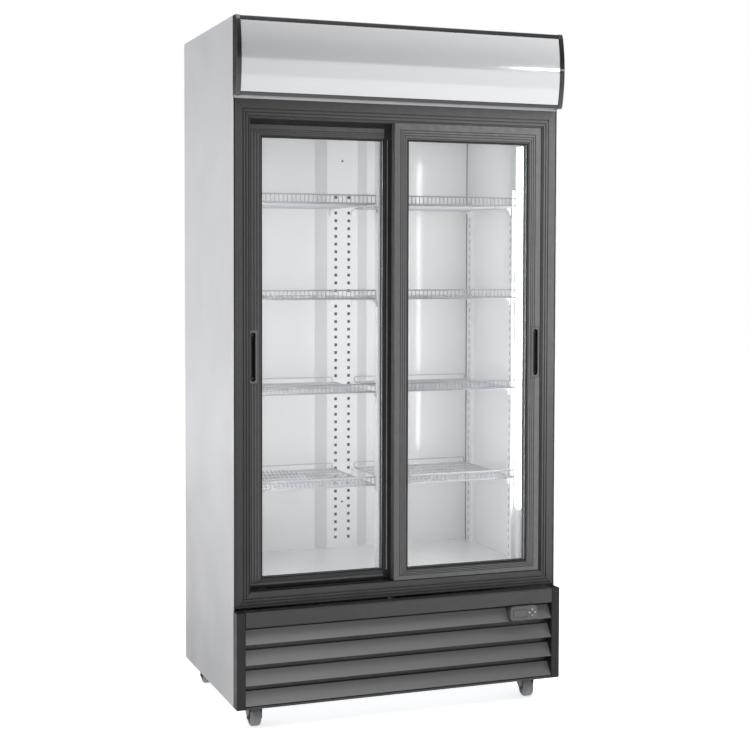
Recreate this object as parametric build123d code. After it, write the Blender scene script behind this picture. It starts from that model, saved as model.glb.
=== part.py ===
from build123d import *
import math
import os

# Glass door merchandiser: an upright two-door display cooler.
# Working frame: x from the centre, y back from the face of the door surround,
# z up from the underside of the cabinet. save() moves it onto its casters.

# ---------------------------------------------------------------- overall
WIDTH = 1000.0
BODY_HEIGHT = 1920.0
BODY_DEPTH = 572.0
CASTER_HEIGHT = 70.0
CANOPY_PROUD = 46.0
SHEET = 1.2
GAP = 0.3
OVERCUT = 1.0

HALF = WIDTH / 2
FRONT = CANOPY_PROUD - (BODY_DEPTH + CANOPY_PROUD) / 2

# ---------------------------------------------------------------- insulated box
SIDE_WALL = 58.0
BACK_WALL = 46.0
TOP_WALL = 55.0
FLOOR_WALL = 50.0
FLOOR_Z = 327.0
CAVITY_X = HALF - SIDE_WALL
CAVITY_BACK = BODY_DEPTH - BACK_WALL
CEILING_Z = BODY_HEIGHT - TOP_WALL
HEM = 5.0
CABLE_ENTRY = (430.0, 90.0)
CABLE_BOSS = 11.0
CABLE_BORE = 5.0
VENT = (60.0, 7.0)
VENT_PITCH = (80.0, 22.0)
VENTS = (9, 8)
VENT_LOW_Z = 60.0
SCREW_HEAD = (3.4, 2.5)
COUNTERBORE = (3.6, 5.0)

# ---------------------------------------------------------------- door surround
FRAME_DEPTH = 68.0
JAMB_WIDTH = 50.0
JAMB_CHANNEL = 14.0
LIP_DEPTH = 32.0
SILL_Z = (275.0, 320.0)
HEADER_Z = (1644.0, 1696.0)
FLUTE_WIDTH = 2.6
FLUTE_DEPTH = 1.5
FLUTES = 3
FLUTE_BAND = 0.45
GUIDE_WIDTH = 8.0
GUIDE_DEPTH = 14.0
TRACK_WIDTH = 12.0
TRACK_DEPTH = 8.0

# ---------------------------------------------------------------- sliding doors
DOOR_DEPTH = 28.0
DOOR_Z = (322.0, 1642.0)
TOP_RAIL = 47.0
LEFT_BOTTOM_RAIL = 27.0
RIGHT_BOTTOM_RAIL = 30.0
FRONT_DOOR_Y = 2.0
REAR_DOOR_Y = 34.0
LEFT_DOOR_X = (-462.0, 12.0)
LEFT_STILES = (54.0, 52.0)
RIGHT_DOOR_X = (-19.0, 447.0)
RIGHT_STILES = (41.0, 41.0)
GLASS_BITE = 10.0
PANE = 4.0
GLASS_UNIT = 18.0
SPACER = 8.0
GUIDE_FIN = (5.0, 10.0)
GUIDE_FIN_INSET = 30.0

HANDLE_X = 433.0
HANDLE_Z = 978.0
HANDLE_PLATE = (26.0, 150.0, 1.2)
HANDLE_POCKET = (15.0, 138.0, 12.0)
HANDLE_WALL = 1.5
HANDLE_CORNER = 4.0
HANDLE_SEAT = 2.0

ROLLER_RADIUS = 12.0
ROLLER_WIDTH = 8.0
ROLLER_INSET = 60.0
AXLE_RADIUS = 2.0
AXLE_LENGTH = 24.0
RUNNING_FIT = 0.05
ROLLER_ROOM = (2.0, 1.0)

# ---------------------------------------------------------------- canopy
CANOPY_Z = (1700.0, BODY_HEIGHT)
CANOPY_EDGE = 31.0
CANOPY_STRIP = (11.0, 14.0)
CANOPY_BACK = 4.0
CAP_WIDTH = 13.5
PANEL_THICK = 3.0
PANEL_RETURN = 6.0
CAP_SCREW_Y = -10.0
CAP_SCREW_Z = (1744.0, 1866.0)

# ---------------------------------------------------------------- lower grille
GRILLE_PROUD = 37.0
GRILLE_Z = (0.0, 271.0)
GRILLE_POST = 26.0
GRILLE_BAND = 43.0
GRILLE_FOOT = 6.0
LOUVRES = 4
LOUVRE_PITCH = 57.5
LOUVRE_TOP = 217.0
LOUVRE_RISE = 36.0
LOUVRE_Y = (-35.0, -8.0)
LOUVRE_THICK = 2.5
GRILLE_SCREW_X = HALF - 16.5
GRILLE_SCREW_Z = (22.0, 216.0)

CONTROLLER_X = (334.0, 422.0)
CONTROLLER_Z = (184.0, 226.0)
CONTROLLER_Y = (-44.0, -12.0)
CASE_CORNER = 12.0
WINDOW = (44.0, 22.0)
WINDOW_INSET = 10.0
WINDOW_PROUD = 1.0
WELL_DEPTH = 10.0
BUTTON_RADIUS = 3.4
BUTTON_PROUD = 1.8
BUTTON_LENGTH = 8.0
BUTTON_CENTRE = (405.0, 206.0)
BUTTON_STEP = 9.0
BUTTON_EDGE = 0.6

# ---------------------------------------------------------------- interior
DUCT_FACE_Y = 512.0
DUCT_BASE = 88.0
DUCT_FACE = 52.0
DUCT_TOP = 1654.0
SLOT = 9.5
SLOT_PITCH = 24.8
SLOTS = 45
SLOT_FIRST_Z = 361.0
SLOT_X = 22.0
DUCT_SCREW_Z = (475.0, 1568.0)

UPRIGHT_Y = (169.0, 473.0)
UPRIGHT = (30.0, 14.0)
POST = (24.0, 30.0)
UPRIGHT_SLOT = (4.0, 13.0)
UPRIGHT_SLOT_DEPTH = 8.0
UPRIGHT_PITCH = 25.0
UPRIGHT_TOP = 1467.0
POST_SLOT_X = 4.5
LED = (52.0, 8.0)
LED_Y = 98.0
LED_Z = (487.0, 1600.0)
CANOPY_LED = (880.0, 10.0, 26.0)

SHELF_TOPS = (606.0, 882.0, 1158.0, 1436.0)
SHELF_X = (38.0, 424.0)
RAIL_X = (36.0, 432.0)
SHELF_Y = (112.0, 500.0)
RAIL_HEIGHT = 20.0
ROD = 2.5
WIRE = 1.5
WIRES = 31
CROSS_RODS = 5
CROSS_ROD_INSET = 20.0
FRONT_ROD = (13.0, 2.0)
UPSTAND = 24.0
UPSTAND_INSET = 8.0
CLIP = (14.0, 22.0, 20.0)
CLIP_LIP = 4.0
CLIP_WEB = 6.0
POST_CLIP_REACH = 28.0
REAR_CLIP_REACH = 22.4
REAR_CLIP_X = (30.0, 44.0)

# ---------------------------------------------------------------- machinery
COVER_Z = 1655.0
COVER_SIDE_GAP = 4.0
COVER_BACK_GAP = 14.0
EVAP_FAN_XY = (0.0, 300.0)
EVAP_FAN_R = 85.0
EVAP_FAN_LIFT = 38.0
EVAP_FAN_HOLE = 95.0
EVAP_SHAFT = 44.0
EVAP_COIL_AT = (0.0, 130.0, 1770.0)
EVAP_BENDS = 4
FAN_DEPTH = 24.0
FAN_BLADES = 5
FAN_BORE = 4.05
FAN_HUB = 0.3
BLADE_ANGLE = 28.0
BLADE_REACH = 0.62
BLADE = (0.72, 0.52, 2.0)
MOTOR_BAR = (130.0, 3.0)
MOTOR_BAR_HALF = 10.0
MOTOR_LIFT = 72.0
MOTOR_RADIUS = 32.0
SHAFT_RADIUS = 4.0
BEND_RADIUS = 5.0
FIN_PITCH = 6.0
FIN_GROOVE = (1.5, 4.0)
COIL_SIZE = (460.0, 70.0, 150.0)
CONDENSER = (300.0, 50.0, 220.0)
CONDENSER_AT = (-240.0, 60.0, 135.0)
CONDENSER_BENDS = 6
COND_FAN_R = 95.0
COND_FAN_BACK = 21.0
COND_FAN_HOLE = 100.0
COND_SHAFT = 32.0
SHROUD_DEPTH = 40.0
SHROUD_GAP = 1.0
SHROUD_BAR_HALF = 12.0
COMPRESSOR_AT = (190.0, 380.0)
COMPRESSOR_R = 75.0
COMPRESSOR_HEIGHT = 190.0
COMPRESSOR_LIFT = 12.0
COMPRESSOR_DOME = 28.0
SEAM = (5.0, 0.45, 6.0)
FEET = 3
FOOT_SPREAD = 85.0
FOOT_RADIUS = 14.0
FOOT_ARM = (8.0, 4.0)
TERMINAL_X = (60.0, 98.0)
TERMINAL_HALF = 28.0
TERMINAL_Z = (60.0, 130.0)
BASE_PLATE = 2.5
BASE_RAIL = 28.0
BOLT_HOLE = 3.4
BOLT_SPREAD = 20.0

# ---------------------------------------------------------------- casters
WHEEL_RADIUS = 25.0
WHEEL_WIDTH = 32.0
WHEEL_AXLE = 3.5
WHEEL_EDGE = 6.0
WHEEL_DISH = (18.0, 8.0, 3.0)
FRONT_CASTER = (428.0, 62.0)
REAR_CASTER = (446.0, 512.0)
TRAIL = 22.0
PLATE = (60.0, 56.0, 2.5)
KINGPIN = 4.0
RACE = (11.0, 4.0)
PIN_HEAD = (7.0, 3.0)
FORK_HEAD = (17.0, 5.0)
FORK_LEG = 2.5
FORK_BACK = 15.0
FORK_FRONT = 12.0
FORK_TOE = 8.0
FORK_DROP = (14.0, 12.0, 6.0)
LEG_GAP = 1.5
FLARE = (9.0, 20.0, 2.5)
FLARE_Y = (0.0, 5.0)
AXLE_END = 2.0

AT_FLOOR = Pos(0, FRONT, CASTER_HEIGHT)


# ---------------------------------------------------------------- helpers
def block(x, y, z):
    """Box from three (low, high) pairs."""
    size = [abs(b - a) for a, b in (x, y, z)]
    return Pos(*[(a + b) / 2 for a, b in (x, y, z)]) * Box(*size)


def rod(axis, radius, centre, length):
    """Cylinder along X, Y or Z about a centre."""
    turn = {"X": Rot(0, 90, 0), "Y": Rot(90, 0, 0), "Z": Rot(0, 0, 0)}[axis]
    return Pos(*centre) * turn * Cylinder(radius, length)


def prism(axis, outline, low, high):
    """Prism of a closed outline, given in the two other axes, along X, Y or Z."""
    place = {
        "X": lambda p: (low, p[0], p[1]),
        "Y": lambda p: (p[0], low, p[1]),
        "Z": lambda p: (p[0], p[1], low),
    }[axis]
    along = {"X": (1, 0, 0), "Y": (0, 1, 0), "Z": (0, 0, 1)}[axis]
    edges = Polyline(*[place(p) for p in outline], close=True)
    return extrude(make_face(edges), amount=high - low, dir=along)


def obround(x, z, width, height, y):
    """Upright slot shape with round ends, through a depth in y."""
    body = block((x - width / 2, x + width / 2), y, (z - height / 2, z + height / 2))
    return fillet(body.edges().filter_by(Axis.Y), width / 2 - RUNNING_FIT)


def mirrored(solid):
    return mirror(solid, about=Plane.YZ)


def save(node, *solids):
    """Write one node, moved from the working frame to the floor frame."""
    placed = [AT_FLOOR * solid for shape in solids for solid in shape.solids()]
    export_step(placed[0] if len(placed) == 1 else Compound(children=placed), f"parts/{node}.step")


def mitred(x, z, inner_x, inner_z, y):
    """Four mitred bars between an outer and an inner rectangle: left, right, bottom, top."""
    (x0, x1), (z0, z1), (a0, a1), (b0, b1) = x, z, inner_x, inner_z
    left = prism("Y", [(x0, z0), (a0, b0), (a0, b1), (x0, z1)], *y)
    right = prism("Y", [(x1, z0), (x1, z1), (a1, b1), (a1, b0)], *y)
    bottom = prism("Y", [(x0, z0), (x1, z0), (a1, b0), (a0, b0)], *y)
    top = prism("Y", [(x0, z1), (a0, b1), (a1, b1), (x1, z1)], *y)
    return left, right, bottom, top


def flutes(outer, inner, along, face_y, vertical):
    """Shallow grooves along the inner part of a bar's front face."""
    cut = []
    for i in range(FLUTES):
        at = inner + (outer - inner) * FLUTE_BAND * (i + 0.5) / FLUTES
        groove = (at - FLUTE_WIDTH / 2, at + FLUTE_WIDTH / 2)
        depth = (face_y - OVERCUT, face_y + FLUTE_DEPTH)
        cut.append(block(groove, depth, along) if vertical else block(along, depth, groove))
    return cut


def sheet_slots(xs, zs, size, y):
    """A grid of slots through a sheet that faces the front."""
    w, h = size
    return [block((x - w / 2, x + w / 2), y, (z - h / 2, z + h / 2)) for x in xs for z in zs]


def screw(axis, face, toward):
    """Screw head whose outer face is at a point, sunk in a direction along its axis."""
    radius, height = SCREW_HEAD
    step = {"X": (toward, 0, 0), "Y": (0, toward, 0)}[axis]
    return rod(axis, radius, [a + b * height / 2 for a, b in zip(face, step)], height)


# ---------------------------------------------------------------- cabinet shell
def side_panel():
    """Left side sheet and its folded front hem."""
    sheet = block((-HALF, -HALF + SHEET), (0, BODY_DEPTH), (0, BODY_HEIGHT))
    return [sheet, block((-HALF + SHEET, -HALF + HEM), (0, SHEET), (0, BODY_HEIGHT))]


def top_panel():
    """Top sheet with the apron that carries the canopy."""
    inner = HALF - HEM
    deck = block((-HALF + SHEET, HALF - SHEET), (SHEET, BODY_DEPTH - SHEET),
                 (BODY_HEIGHT - SHEET, BODY_HEIGHT))
    return [deck, block((-inner, inner), (0, SHEET), (HEADER_Z[1], BODY_HEIGHT))]


def back_panel():
    """Back sheet with exhaust slots low down and a cable entry boss."""
    inner = HALF - SHEET
    sheet = block((-inner, inner), (BODY_DEPTH - SHEET, BODY_DEPTH), (0, BODY_HEIGHT))
    across, up = VENTS
    columns = [VENT_PITCH[0] * (i - (across - 1) / 2) for i in range(across)]
    rows = [VENT_LOW_Z + VENT_PITCH[1] * i for i in range(up)]
    cuts = sheet_slots(columns, rows, VENT, (BODY_DEPTH - 2 * SHEET, BODY_DEPTH + OVERCUT))
    x, z = CABLE_ENTRY
    hole = rod("Y", CABLE_BORE, (x, BODY_DEPTH, z), 4 * CABLE_BOSS)
    boss = rod("Y", CABLE_BOSS, (x, BODY_DEPTH - SHEET - CABLE_BOSS / 2, z), CABLE_BOSS)
    return [sheet - cuts - hole, boss - hole]


def bolt_holes(x, y):
    """Four bolt holes around a caster's centre."""
    return [rod("Z", BOLT_HOLE, (x + dx, y + dy, 0), BASE_RAIL)
            for dx in (-BOLT_SPREAD, BOLT_SPREAD) for dy in (-BOLT_SPREAD, BOLT_SPREAD)]


def base_frame():
    """Base pan with turned-up sides and clearance holes over the caster plates."""
    inner = HALF - SHEET
    pan = block((-inner, inner), (SHEET, BODY_DEPTH - SHEET), (0, BASE_PLATE))
    wall = block((-inner, -inner + BASE_PLATE), (SHEET, BODY_DEPTH - SHEET), (BASE_PLATE, BASE_RAIL))
    for x, y in (FRONT_CASTER, REAR_CASTER):
        for side in (-1, 1):
            pan -= bolt_holes(side * x, y)
    return [pan, wall, mirrored(wall)]


def insulation():
    """Foam slabs between the outer sheets and the liner."""
    out, cav = HALF - SHEET, CAVITY_X + SHEET
    low, high = FLOOR_Z - FLOOR_WALL, BODY_HEIGHT - SHEET
    back, rear = CAVITY_BACK + SHEET, BODY_DEPTH - SHEET
    return [
        block((-out, -cav), (FRAME_DEPTH, rear), (low, high)),
        block((cav, out), (FRAME_DEPTH, rear), (low, high)),
        block((-cav, cav), (back, rear), (low, high)),
        block((-cav, cav), (FRAME_DEPTH, back), (CEILING_Z + SHEET, high)),
        block((-cav, cav), (FRAME_DEPTH, back), (low, FLOOR_Z - SHEET)),
        block((-HALF + HEM, HALF - HEM), (SHEET + GAP / 3, FRAME_DEPTH - SHEET), (HEADER_Z[1], high)),
    ]


def inner_liner():
    """White liner sheets: walls, back, floor, ceiling and the front above the doors."""
    cav, back = CAVITY_X, CAVITY_BACK
    return [
        block((-cav - SHEET, -cav), (FRAME_DEPTH, back + SHEET), (FLOOR_Z - SHEET, CEILING_Z + SHEET)),
        block((cav, cav + SHEET), (FRAME_DEPTH, back + SHEET), (FLOOR_Z - SHEET, CEILING_Z + SHEET)),
        block((-cav, cav), (back, back + SHEET), (FLOOR_Z - SHEET, CEILING_Z + SHEET)),
        block((-cav, cav), (FRAME_DEPTH, back), (FLOOR_Z - SHEET, FLOOR_Z)),
        block((-cav, cav), (FRAME_DEPTH, back), (CEILING_Z, CEILING_Z + SHEET)),
        block((-cav - SHEET, cav + SHEET), (FRAME_DEPTH - SHEET, FRAME_DEPTH),
              (HEADER_Z[1], CEILING_Z)),
    ]


# ---------------------------------------------------------------- door surround
def surround():
    """Mitred jambs, sill and header with the flutes, guide grooves and tracks."""
    x = (-HALF + HEM, HALF - HEM)
    inner_x = (-HALF + JAMB_WIDTH, HALF - JAMB_WIDTH)
    z = (SILL_Z[0], HEADER_Z[1])
    left, right, sill, header = mitred(x, z, inner_x, (SILL_Z[1], HEADER_Z[0]), (0, FRAME_DEPTH))
    channel = (-inner_x[1] - JAMB_CHANNEL, inner_x[1] + JAMB_CHANNEL)
    recess = block(channel, (LIP_DEPTH, FRAME_DEPTH + OVERCUT),
                   (SILL_Z[1] - OVERCUT, HEADER_Z[0] + OVERCUT))
    left = left - recess - flutes(x[0], inner_x[0], z, 0, True)
    right = right - recess - flutes(x[1], inner_x[1], z, 0, True)
    header -= flutes(HEADER_Z[1], HEADER_Z[0], x, 0, False)
    sill -= flutes(SILL_Z[0], SILL_Z[1], x, 0, False)
    for y in (FRONT_DOOR_Y + DOOR_DEPTH / 2, REAR_DOOR_Y + DOOR_DEPTH / 2):
        header -= block((-channel[1], channel[1]), (y - GUIDE_WIDTH / 2, y + GUIDE_WIDTH / 2),
                        (HEADER_Z[0] - OVERCUT, HEADER_Z[0] + GUIDE_DEPTH))
        sill -= block((-channel[1], channel[1]), (y - TRACK_WIDTH / 2, y + TRACK_WIDTH / 2),
                      (SILL_Z[1] - TRACK_DEPTH, SILL_Z[1] + OVERCUT))
    return left, right, sill, header


# ---------------------------------------------------------------- doors
def roller_spots(x):
    return (x[0] + ROLLER_INSET, x[1] - ROLLER_INSET)


def roller_height():
    return SILL_Z[1] - TRACK_DEPTH + GAP + ROLLER_RADIUS


def door_frame(x, stiles, bottom_rail, y, handle_x):
    """Four mitred, fluted bars rebated for the glass, the handle and the rollers."""
    inner_x = (x[0] + stiles[0], x[1] - stiles[1])
    inner_z = (DOOR_Z[0] + bottom_rail, DOOR_Z[1] - TOP_RAIL)
    depth = (y, y + DOOR_DEPTH)
    middle = y + DOOR_DEPTH / 2
    left, right, bottom, top = mitred(x, DOOR_Z, inner_x, inner_z, depth)
    left -= flutes(x[0], inner_x[0], DOOR_Z, y, True)
    right -= flutes(x[1], inner_x[1], DOOR_Z, y, True)
    bottom -= flutes(DOOR_Z[0], inner_z[0], x, y, False)
    top -= flutes(DOOR_Z[1], inner_z[1], x, y, False)
    rebate = glass_space(inner_x, inner_z, y, GAP / 3)
    w, h, _ = HANDLE_PLATE
    pocket_x = HANDLE_POCKET[0] / 2 + HANDLE_WALL
    pocket_z = HANDLE_POCKET[1] / 2 + HANDLE_WALL
    seat = block((handle_x - w / 2, handle_x + w / 2), (y - OVERCUT, y + HANDLE_SEAT),
                 (HANDLE_Z - h / 2, HANDLE_Z + h / 2))
    seat += block((handle_x - pocket_x, handle_x + pocket_x),
                  (y - OVERCUT, y + HANDLE_POCKET[2] + HANDLE_WALL),
                  (HANDLE_Z - pocket_z, HANDLE_Z + pocket_z))
    left, right = left - rebate - seat, right - rebate - seat
    bottom, top = bottom - rebate, top - rebate
    axle_z = roller_height()
    for spot in roller_spots(x):
        half = ROLLER_RADIUS + ROLLER_ROOM[0]
        wide = ROLLER_WIDTH / 2 + ROLLER_ROOM[1]
        bottom -= block((spot - half, spot + half), (middle - wide, middle + wide),
                        (DOOR_Z[0] - OVERCUT, axle_z + half))
        bottom -= rod("Y", AXLE_RADIUS + RUNNING_FIT, (spot, middle, axle_z), AXLE_LENGTH + OVERCUT)
    fin, rise = GUIDE_FIN
    top += block((x[0] + GUIDE_FIN_INSET, x[1] - GUIDE_FIN_INSET),
                 (middle - fin / 2, middle + fin / 2), (DOOR_Z[1] - OVERCUT, DOOR_Z[1] + rise))
    return left, right, bottom, top


def glass_space(inner_x, inner_z, y, extra):
    """Room for the sealed glass unit, let into the bars by the glass bite."""
    bite = GLASS_BITE + extra
    middle = y + DOOR_DEPTH / 2
    half = GLASS_UNIT / 2 + extra
    return block((inner_x[0] - bite, inner_x[1] + bite), (middle - half, middle + half),
                 (inner_z[0] - bite, inner_z[1] + bite))


def door_glass(x, stiles, bottom_rail, y):
    """Sealed unit: two panes on a perimeter spacer of four bars."""
    inner_x = (x[0] + stiles[0] - GLASS_BITE, x[1] - stiles[1] + GLASS_BITE)
    inner_z = (DOOR_Z[0] + bottom_rail - GLASS_BITE, DOOR_Z[1] - TOP_RAIL + GLASS_BITE)
    middle = y + DOOR_DEPTH / 2
    low, high = middle - GLASS_UNIT / 2, middle + GLASS_UNIT / 2
    front = block(inner_x, (low, low + PANE), inner_z)
    rear = block(inner_x, (high - PANE, high), inner_z)
    ring = mitred(inner_x, inner_z, (inner_x[0] + SPACER, inner_x[1] - SPACER),
                  (inner_z[0] + SPACER, inner_z[1] - SPACER), (low + PANE, high - PANE))
    return [front, rear, *ring]


def door_handle(handle_x, y):
    """Recessed finger pull: a thin plate around a pocket."""
    w, h, proud = HANDLE_PLATE
    pw, ph, pd = HANDLE_POCKET
    plate = block((handle_x - w / 2, handle_x + w / 2), (y - proud, y + FLUTE_DEPTH),
                  (HANDLE_Z - h / 2, HANDLE_Z + h / 2))
    wall = HANDLE_WALL - GAP / 3
    cup = obround(handle_x, HANDLE_Z, pw + 2 * wall, ph + 2 * wall, (y, y + pd + wall))
    room = obround(handle_x, HANDLE_Z, pw, ph, (y - 2 * proud, y + pd))
    return fillet(plate.edges().filter_by(Axis.Y), HANDLE_CORNER) + cup - room


def door_roller(x, y):
    """Grooveless roller turned in one piece with its axle."""
    centre = (x, y + DOOR_DEPTH / 2, roller_height())
    return rod("Y", ROLLER_RADIUS, centre, ROLLER_WIDTH) + rod("Y", AXLE_RADIUS, centre, AXLE_LENGTH)


def save_door(side, x, stiles, bottom_rail, y, handle_x):
    save(f"{side}_door_frame", *door_frame(x, stiles, bottom_rail, y, handle_x))
    save(f"{side}_door_glass", *door_glass(x, stiles, bottom_rail, y))
    save(f"{side}_door_handle", door_handle(handle_x, y))
    for end, spot in zip(("left", "right"), roller_spots(x)):
        save(f"{side}_door_roller_{end}", door_roller(spot, y))


# ---------------------------------------------------------------- canopy
def canopy_outline(inset):
    """Side outline of the bowed canopy, set in from its front by an amount."""
    z0, z1 = CANOPY_Z
    arc = ThreePointArc((0, -CANOPY_EDGE + inset, z0), (0, -CANOPY_PROUD + inset, (z0 + z1) / 2),
                        (0, -CANOPY_EDGE + inset, z1))
    rest = Polyline((0, -CANOPY_EDGE + inset, z1), (0, 0, z1), (0, 0, z0),
                    (0, -CANOPY_EDGE + inset, z0))
    return make_face(arc + rest)


def canopy_end_cap():
    """Left end cap with counterbores for its two screws."""
    cap = Pos(-HALF, 0, 0) * extrude(canopy_outline(0), amount=CAP_WIDTH, dir=(1, 0, 0))
    radius, length = COUNTERBORE
    return cap - [rod("X", radius, (-HALF, CAP_SCREW_Y, z), length) for z in CAP_SCREW_Z]


def canopy_span():
    return (-HALF + CAP_WIDTH + GAP, HALF - CAP_WIDTH - GAP)


def canopy_front_panel():
    """Bowed translucent panel between the two canopy strips."""
    x = canopy_span()
    length = x[1] - x[0]
    full = extrude(canopy_outline(0), amount=length, dir=(1, 0, 0))
    inner = extrude(canopy_outline(PANEL_THICK), amount=length, dir=(1, 0, 0))
    window = block(x, (-CANOPY_PROUD - OVERCUT, -CANOPY_EDGE + PANEL_THICK + PANEL_RETURN),
                   (CANOPY_Z[0] + CANOPY_STRIP[0] + GAP, CANOPY_Z[1] - CANOPY_STRIP[1] - GAP))
    return (Pos(x[0], 0, 0) * (full - inner)) & window


def canopy_housing():
    """Canopy back plate with the top and bottom strips that hold the panel."""
    x = canopy_span()
    full = Pos(x[0], 0, 0) * extrude(canopy_outline(0), amount=x[1] - x[0], dir=(1, 0, 0))
    z0, z1 = CANOPY_Z
    front = (-2 * CANOPY_PROUD, -CANOPY_BACK)
    back = block(x, (-CANOPY_BACK, 0), CANOPY_Z)
    bottom = full & block(x, front, (z0, z0 + CANOPY_STRIP[0]))
    top = full & block(x, front, (z1 - CANOPY_STRIP[1], z1))
    return [back, bottom, top]


def led_strips():
    """Two interior strips and the canopy strip."""
    w, t = LED
    right = block((CAVITY_X - t, CAVITY_X), (LED_Y, LED_Y + w), LED_Z)
    length, depth, height = CANOPY_LED
    middle = (CANOPY_Z[0] + CANOPY_Z[1]) / 2
    canopy = block((-length / 2, length / 2), (-CANOPY_BACK - depth, -CANOPY_BACK),
                   (middle - height / 2, middle + height / 2))
    return [right, mirrored(right), canopy]


# ---------------------------------------------------------------- lower grille
def controller_room(extra):
    return block((CONTROLLER_X[0] - extra, CONTROLLER_X[1] + extra),
                 (CONTROLLER_Y[0] - extra, CONTROLLER_Y[1] + extra),
                 (CONTROLLER_Z[0] - extra, CONTROLLER_Z[1] + extra))


def grille_frame():
    """Plinth frame around the louvres: two posts, the top band and the foot."""
    depth = (-GRILLE_PROUD, 0)
    inner = HALF - GRILLE_POST
    post = block((-HALF, -inner), depth, GRILLE_Z)
    radius, length = COUNTERBORE
    post -= [rod("Y", radius, (-GRILLE_SCREW_X, -GRILLE_PROUD, z), length) for z in GRILLE_SCREW_Z]
    band = block((-inner, inner), depth, (GRILLE_Z[1] - GRILLE_BAND, GRILLE_Z[1]))
    foot = block((-inner, inner), depth, (GRILLE_Z[0], GRILLE_Z[0] + GRILLE_FOOT))
    return [post, mirrored(post), band, foot]


def grille_louvres():
    """Slanted blades, top edge set back; the top blade is cut away for the controller."""
    x = (-HALF + GRILLE_POST + GAP / 2, HALF - GRILLE_POST - GAP / 2)
    y0, y1 = LOUVRE_Y
    blades = []
    for i in range(LOUVRES):
        top = LOUVRE_TOP - i * LOUVRE_PITCH
        low = top - LOUVRE_RISE
        outline = [(y0, low), (y0 + LOUVRE_THICK, low), (y1 + LOUVRE_THICK, top), (y1, top)]
        blades.append(prism("X", outline, *x))
    blades[0] -= controller_room(GAP)
    return blades


def button_spots():
    x, z = BUTTON_CENTRE
    step = BUTTON_STEP
    return {"up": (x, z + step), "down": (x, z - step), "set": (x - step, z), "defrost": (x + step, z)}


def controller_case():
    """Round-ended case with a raised display window and four button wells."""
    case = block(CONTROLLER_X, CONTROLLER_Y, CONTROLLER_Z)
    case = fillet(case.edges().filter_by(Axis.Y), CASE_CORNER)
    face = CONTROLLER_Y[0]
    w, h = WINDOW
    x0 = CONTROLLER_X[0] + WINDOW_INSET
    z = (CONTROLLER_Z[0] + CONTROLLER_Z[1]) / 2
    case += block((x0, x0 + w), (face - WINDOW_PROUD, face + WINDOW_PROUD), (z - h / 2, z + h / 2))
    case -= [rod("Y", BUTTON_RADIUS + GAP, (x, face, z), 2 * WELL_DEPTH)
             for x, z in button_spots().values()]
    return case


def controller_button(x, z):
    face = CONTROLLER_Y[0]
    cap = rod("Y", BUTTON_RADIUS, (x, face - BUTTON_PROUD + BUTTON_LENGTH / 2, z), BUTTON_LENGTH)
    return chamfer(cap.faces().sort_by(Axis.Y)[0].edges(), BUTTON_EDGE)


# ---------------------------------------------------------------- interior
def rear_duct():
    """Folded duct cover down the back wall with two columns of square slots."""
    face, back = DUCT_FACE_Y, CAVITY_BACK
    slope = [(-DUCT_BASE, back), (-DUCT_FACE, face), (-DUCT_FACE, face + SHEET),
             (-DUCT_BASE + 3 * SHEET, back)]
    wing = prism("Z", slope, FLOOR_Z, DUCT_TOP)
    plate = block((-DUCT_FACE, DUCT_FACE), (face, face + SHEET), (FLOOR_Z, DUCT_TOP))
    rows = [SLOT_FIRST_Z + SLOT_PITCH * i for i in range(SLOTS)]
    plate -= sheet_slots((-SLOT_X, SLOT_X), rows, (SLOT, SLOT), (face - SHEET, face + 2 * SHEET))
    return [plate, wing, mirrored(wing)]


def shelf_uprights():
    """Slotted uprights: two on each wall and the free-standing centre post."""
    w, t = UPRIGHT
    slot_w, slot_h = UPRIGHT_SLOT
    deep = UPRIGHT_SLOT_DEPTH
    wall_z = (FLOOR_Z, UPRIGHT_TOP)
    count = int((UPRIGHT_TOP - FLOOR_Z) / UPRIGHT_PITCH)
    rows = [FLOOR_Z + UPRIGHT_PITCH * (i + 0.5) for i in range(count)]
    posts = []
    for y in UPRIGHT_Y:
        face = CAVITY_X - t
        bar = block((face, CAVITY_X), (y - w / 2, y + w / 2), wall_z)
        bar -= [block((face - OVERCUT, face + deep), (y - slot_w / 2, y + slot_w / 2),
                      (r - slot_h / 2, r + slot_h / 2)) for r in rows]
        posts += [bar, mirrored(bar)]
    pw, pd = POST
    y = UPRIGHT_Y[0]
    face = y - pd / 2
    post = block((-pw / 2, pw / 2), (face, y + pd / 2), (FLOOR_Z, DUCT_TOP))
    post -= sheet_slots((-POST_SLOT_X, POST_SLOT_X), rows, UPRIGHT_SLOT, (face - OVERCUT, face + deep))
    return posts + [post]


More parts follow.
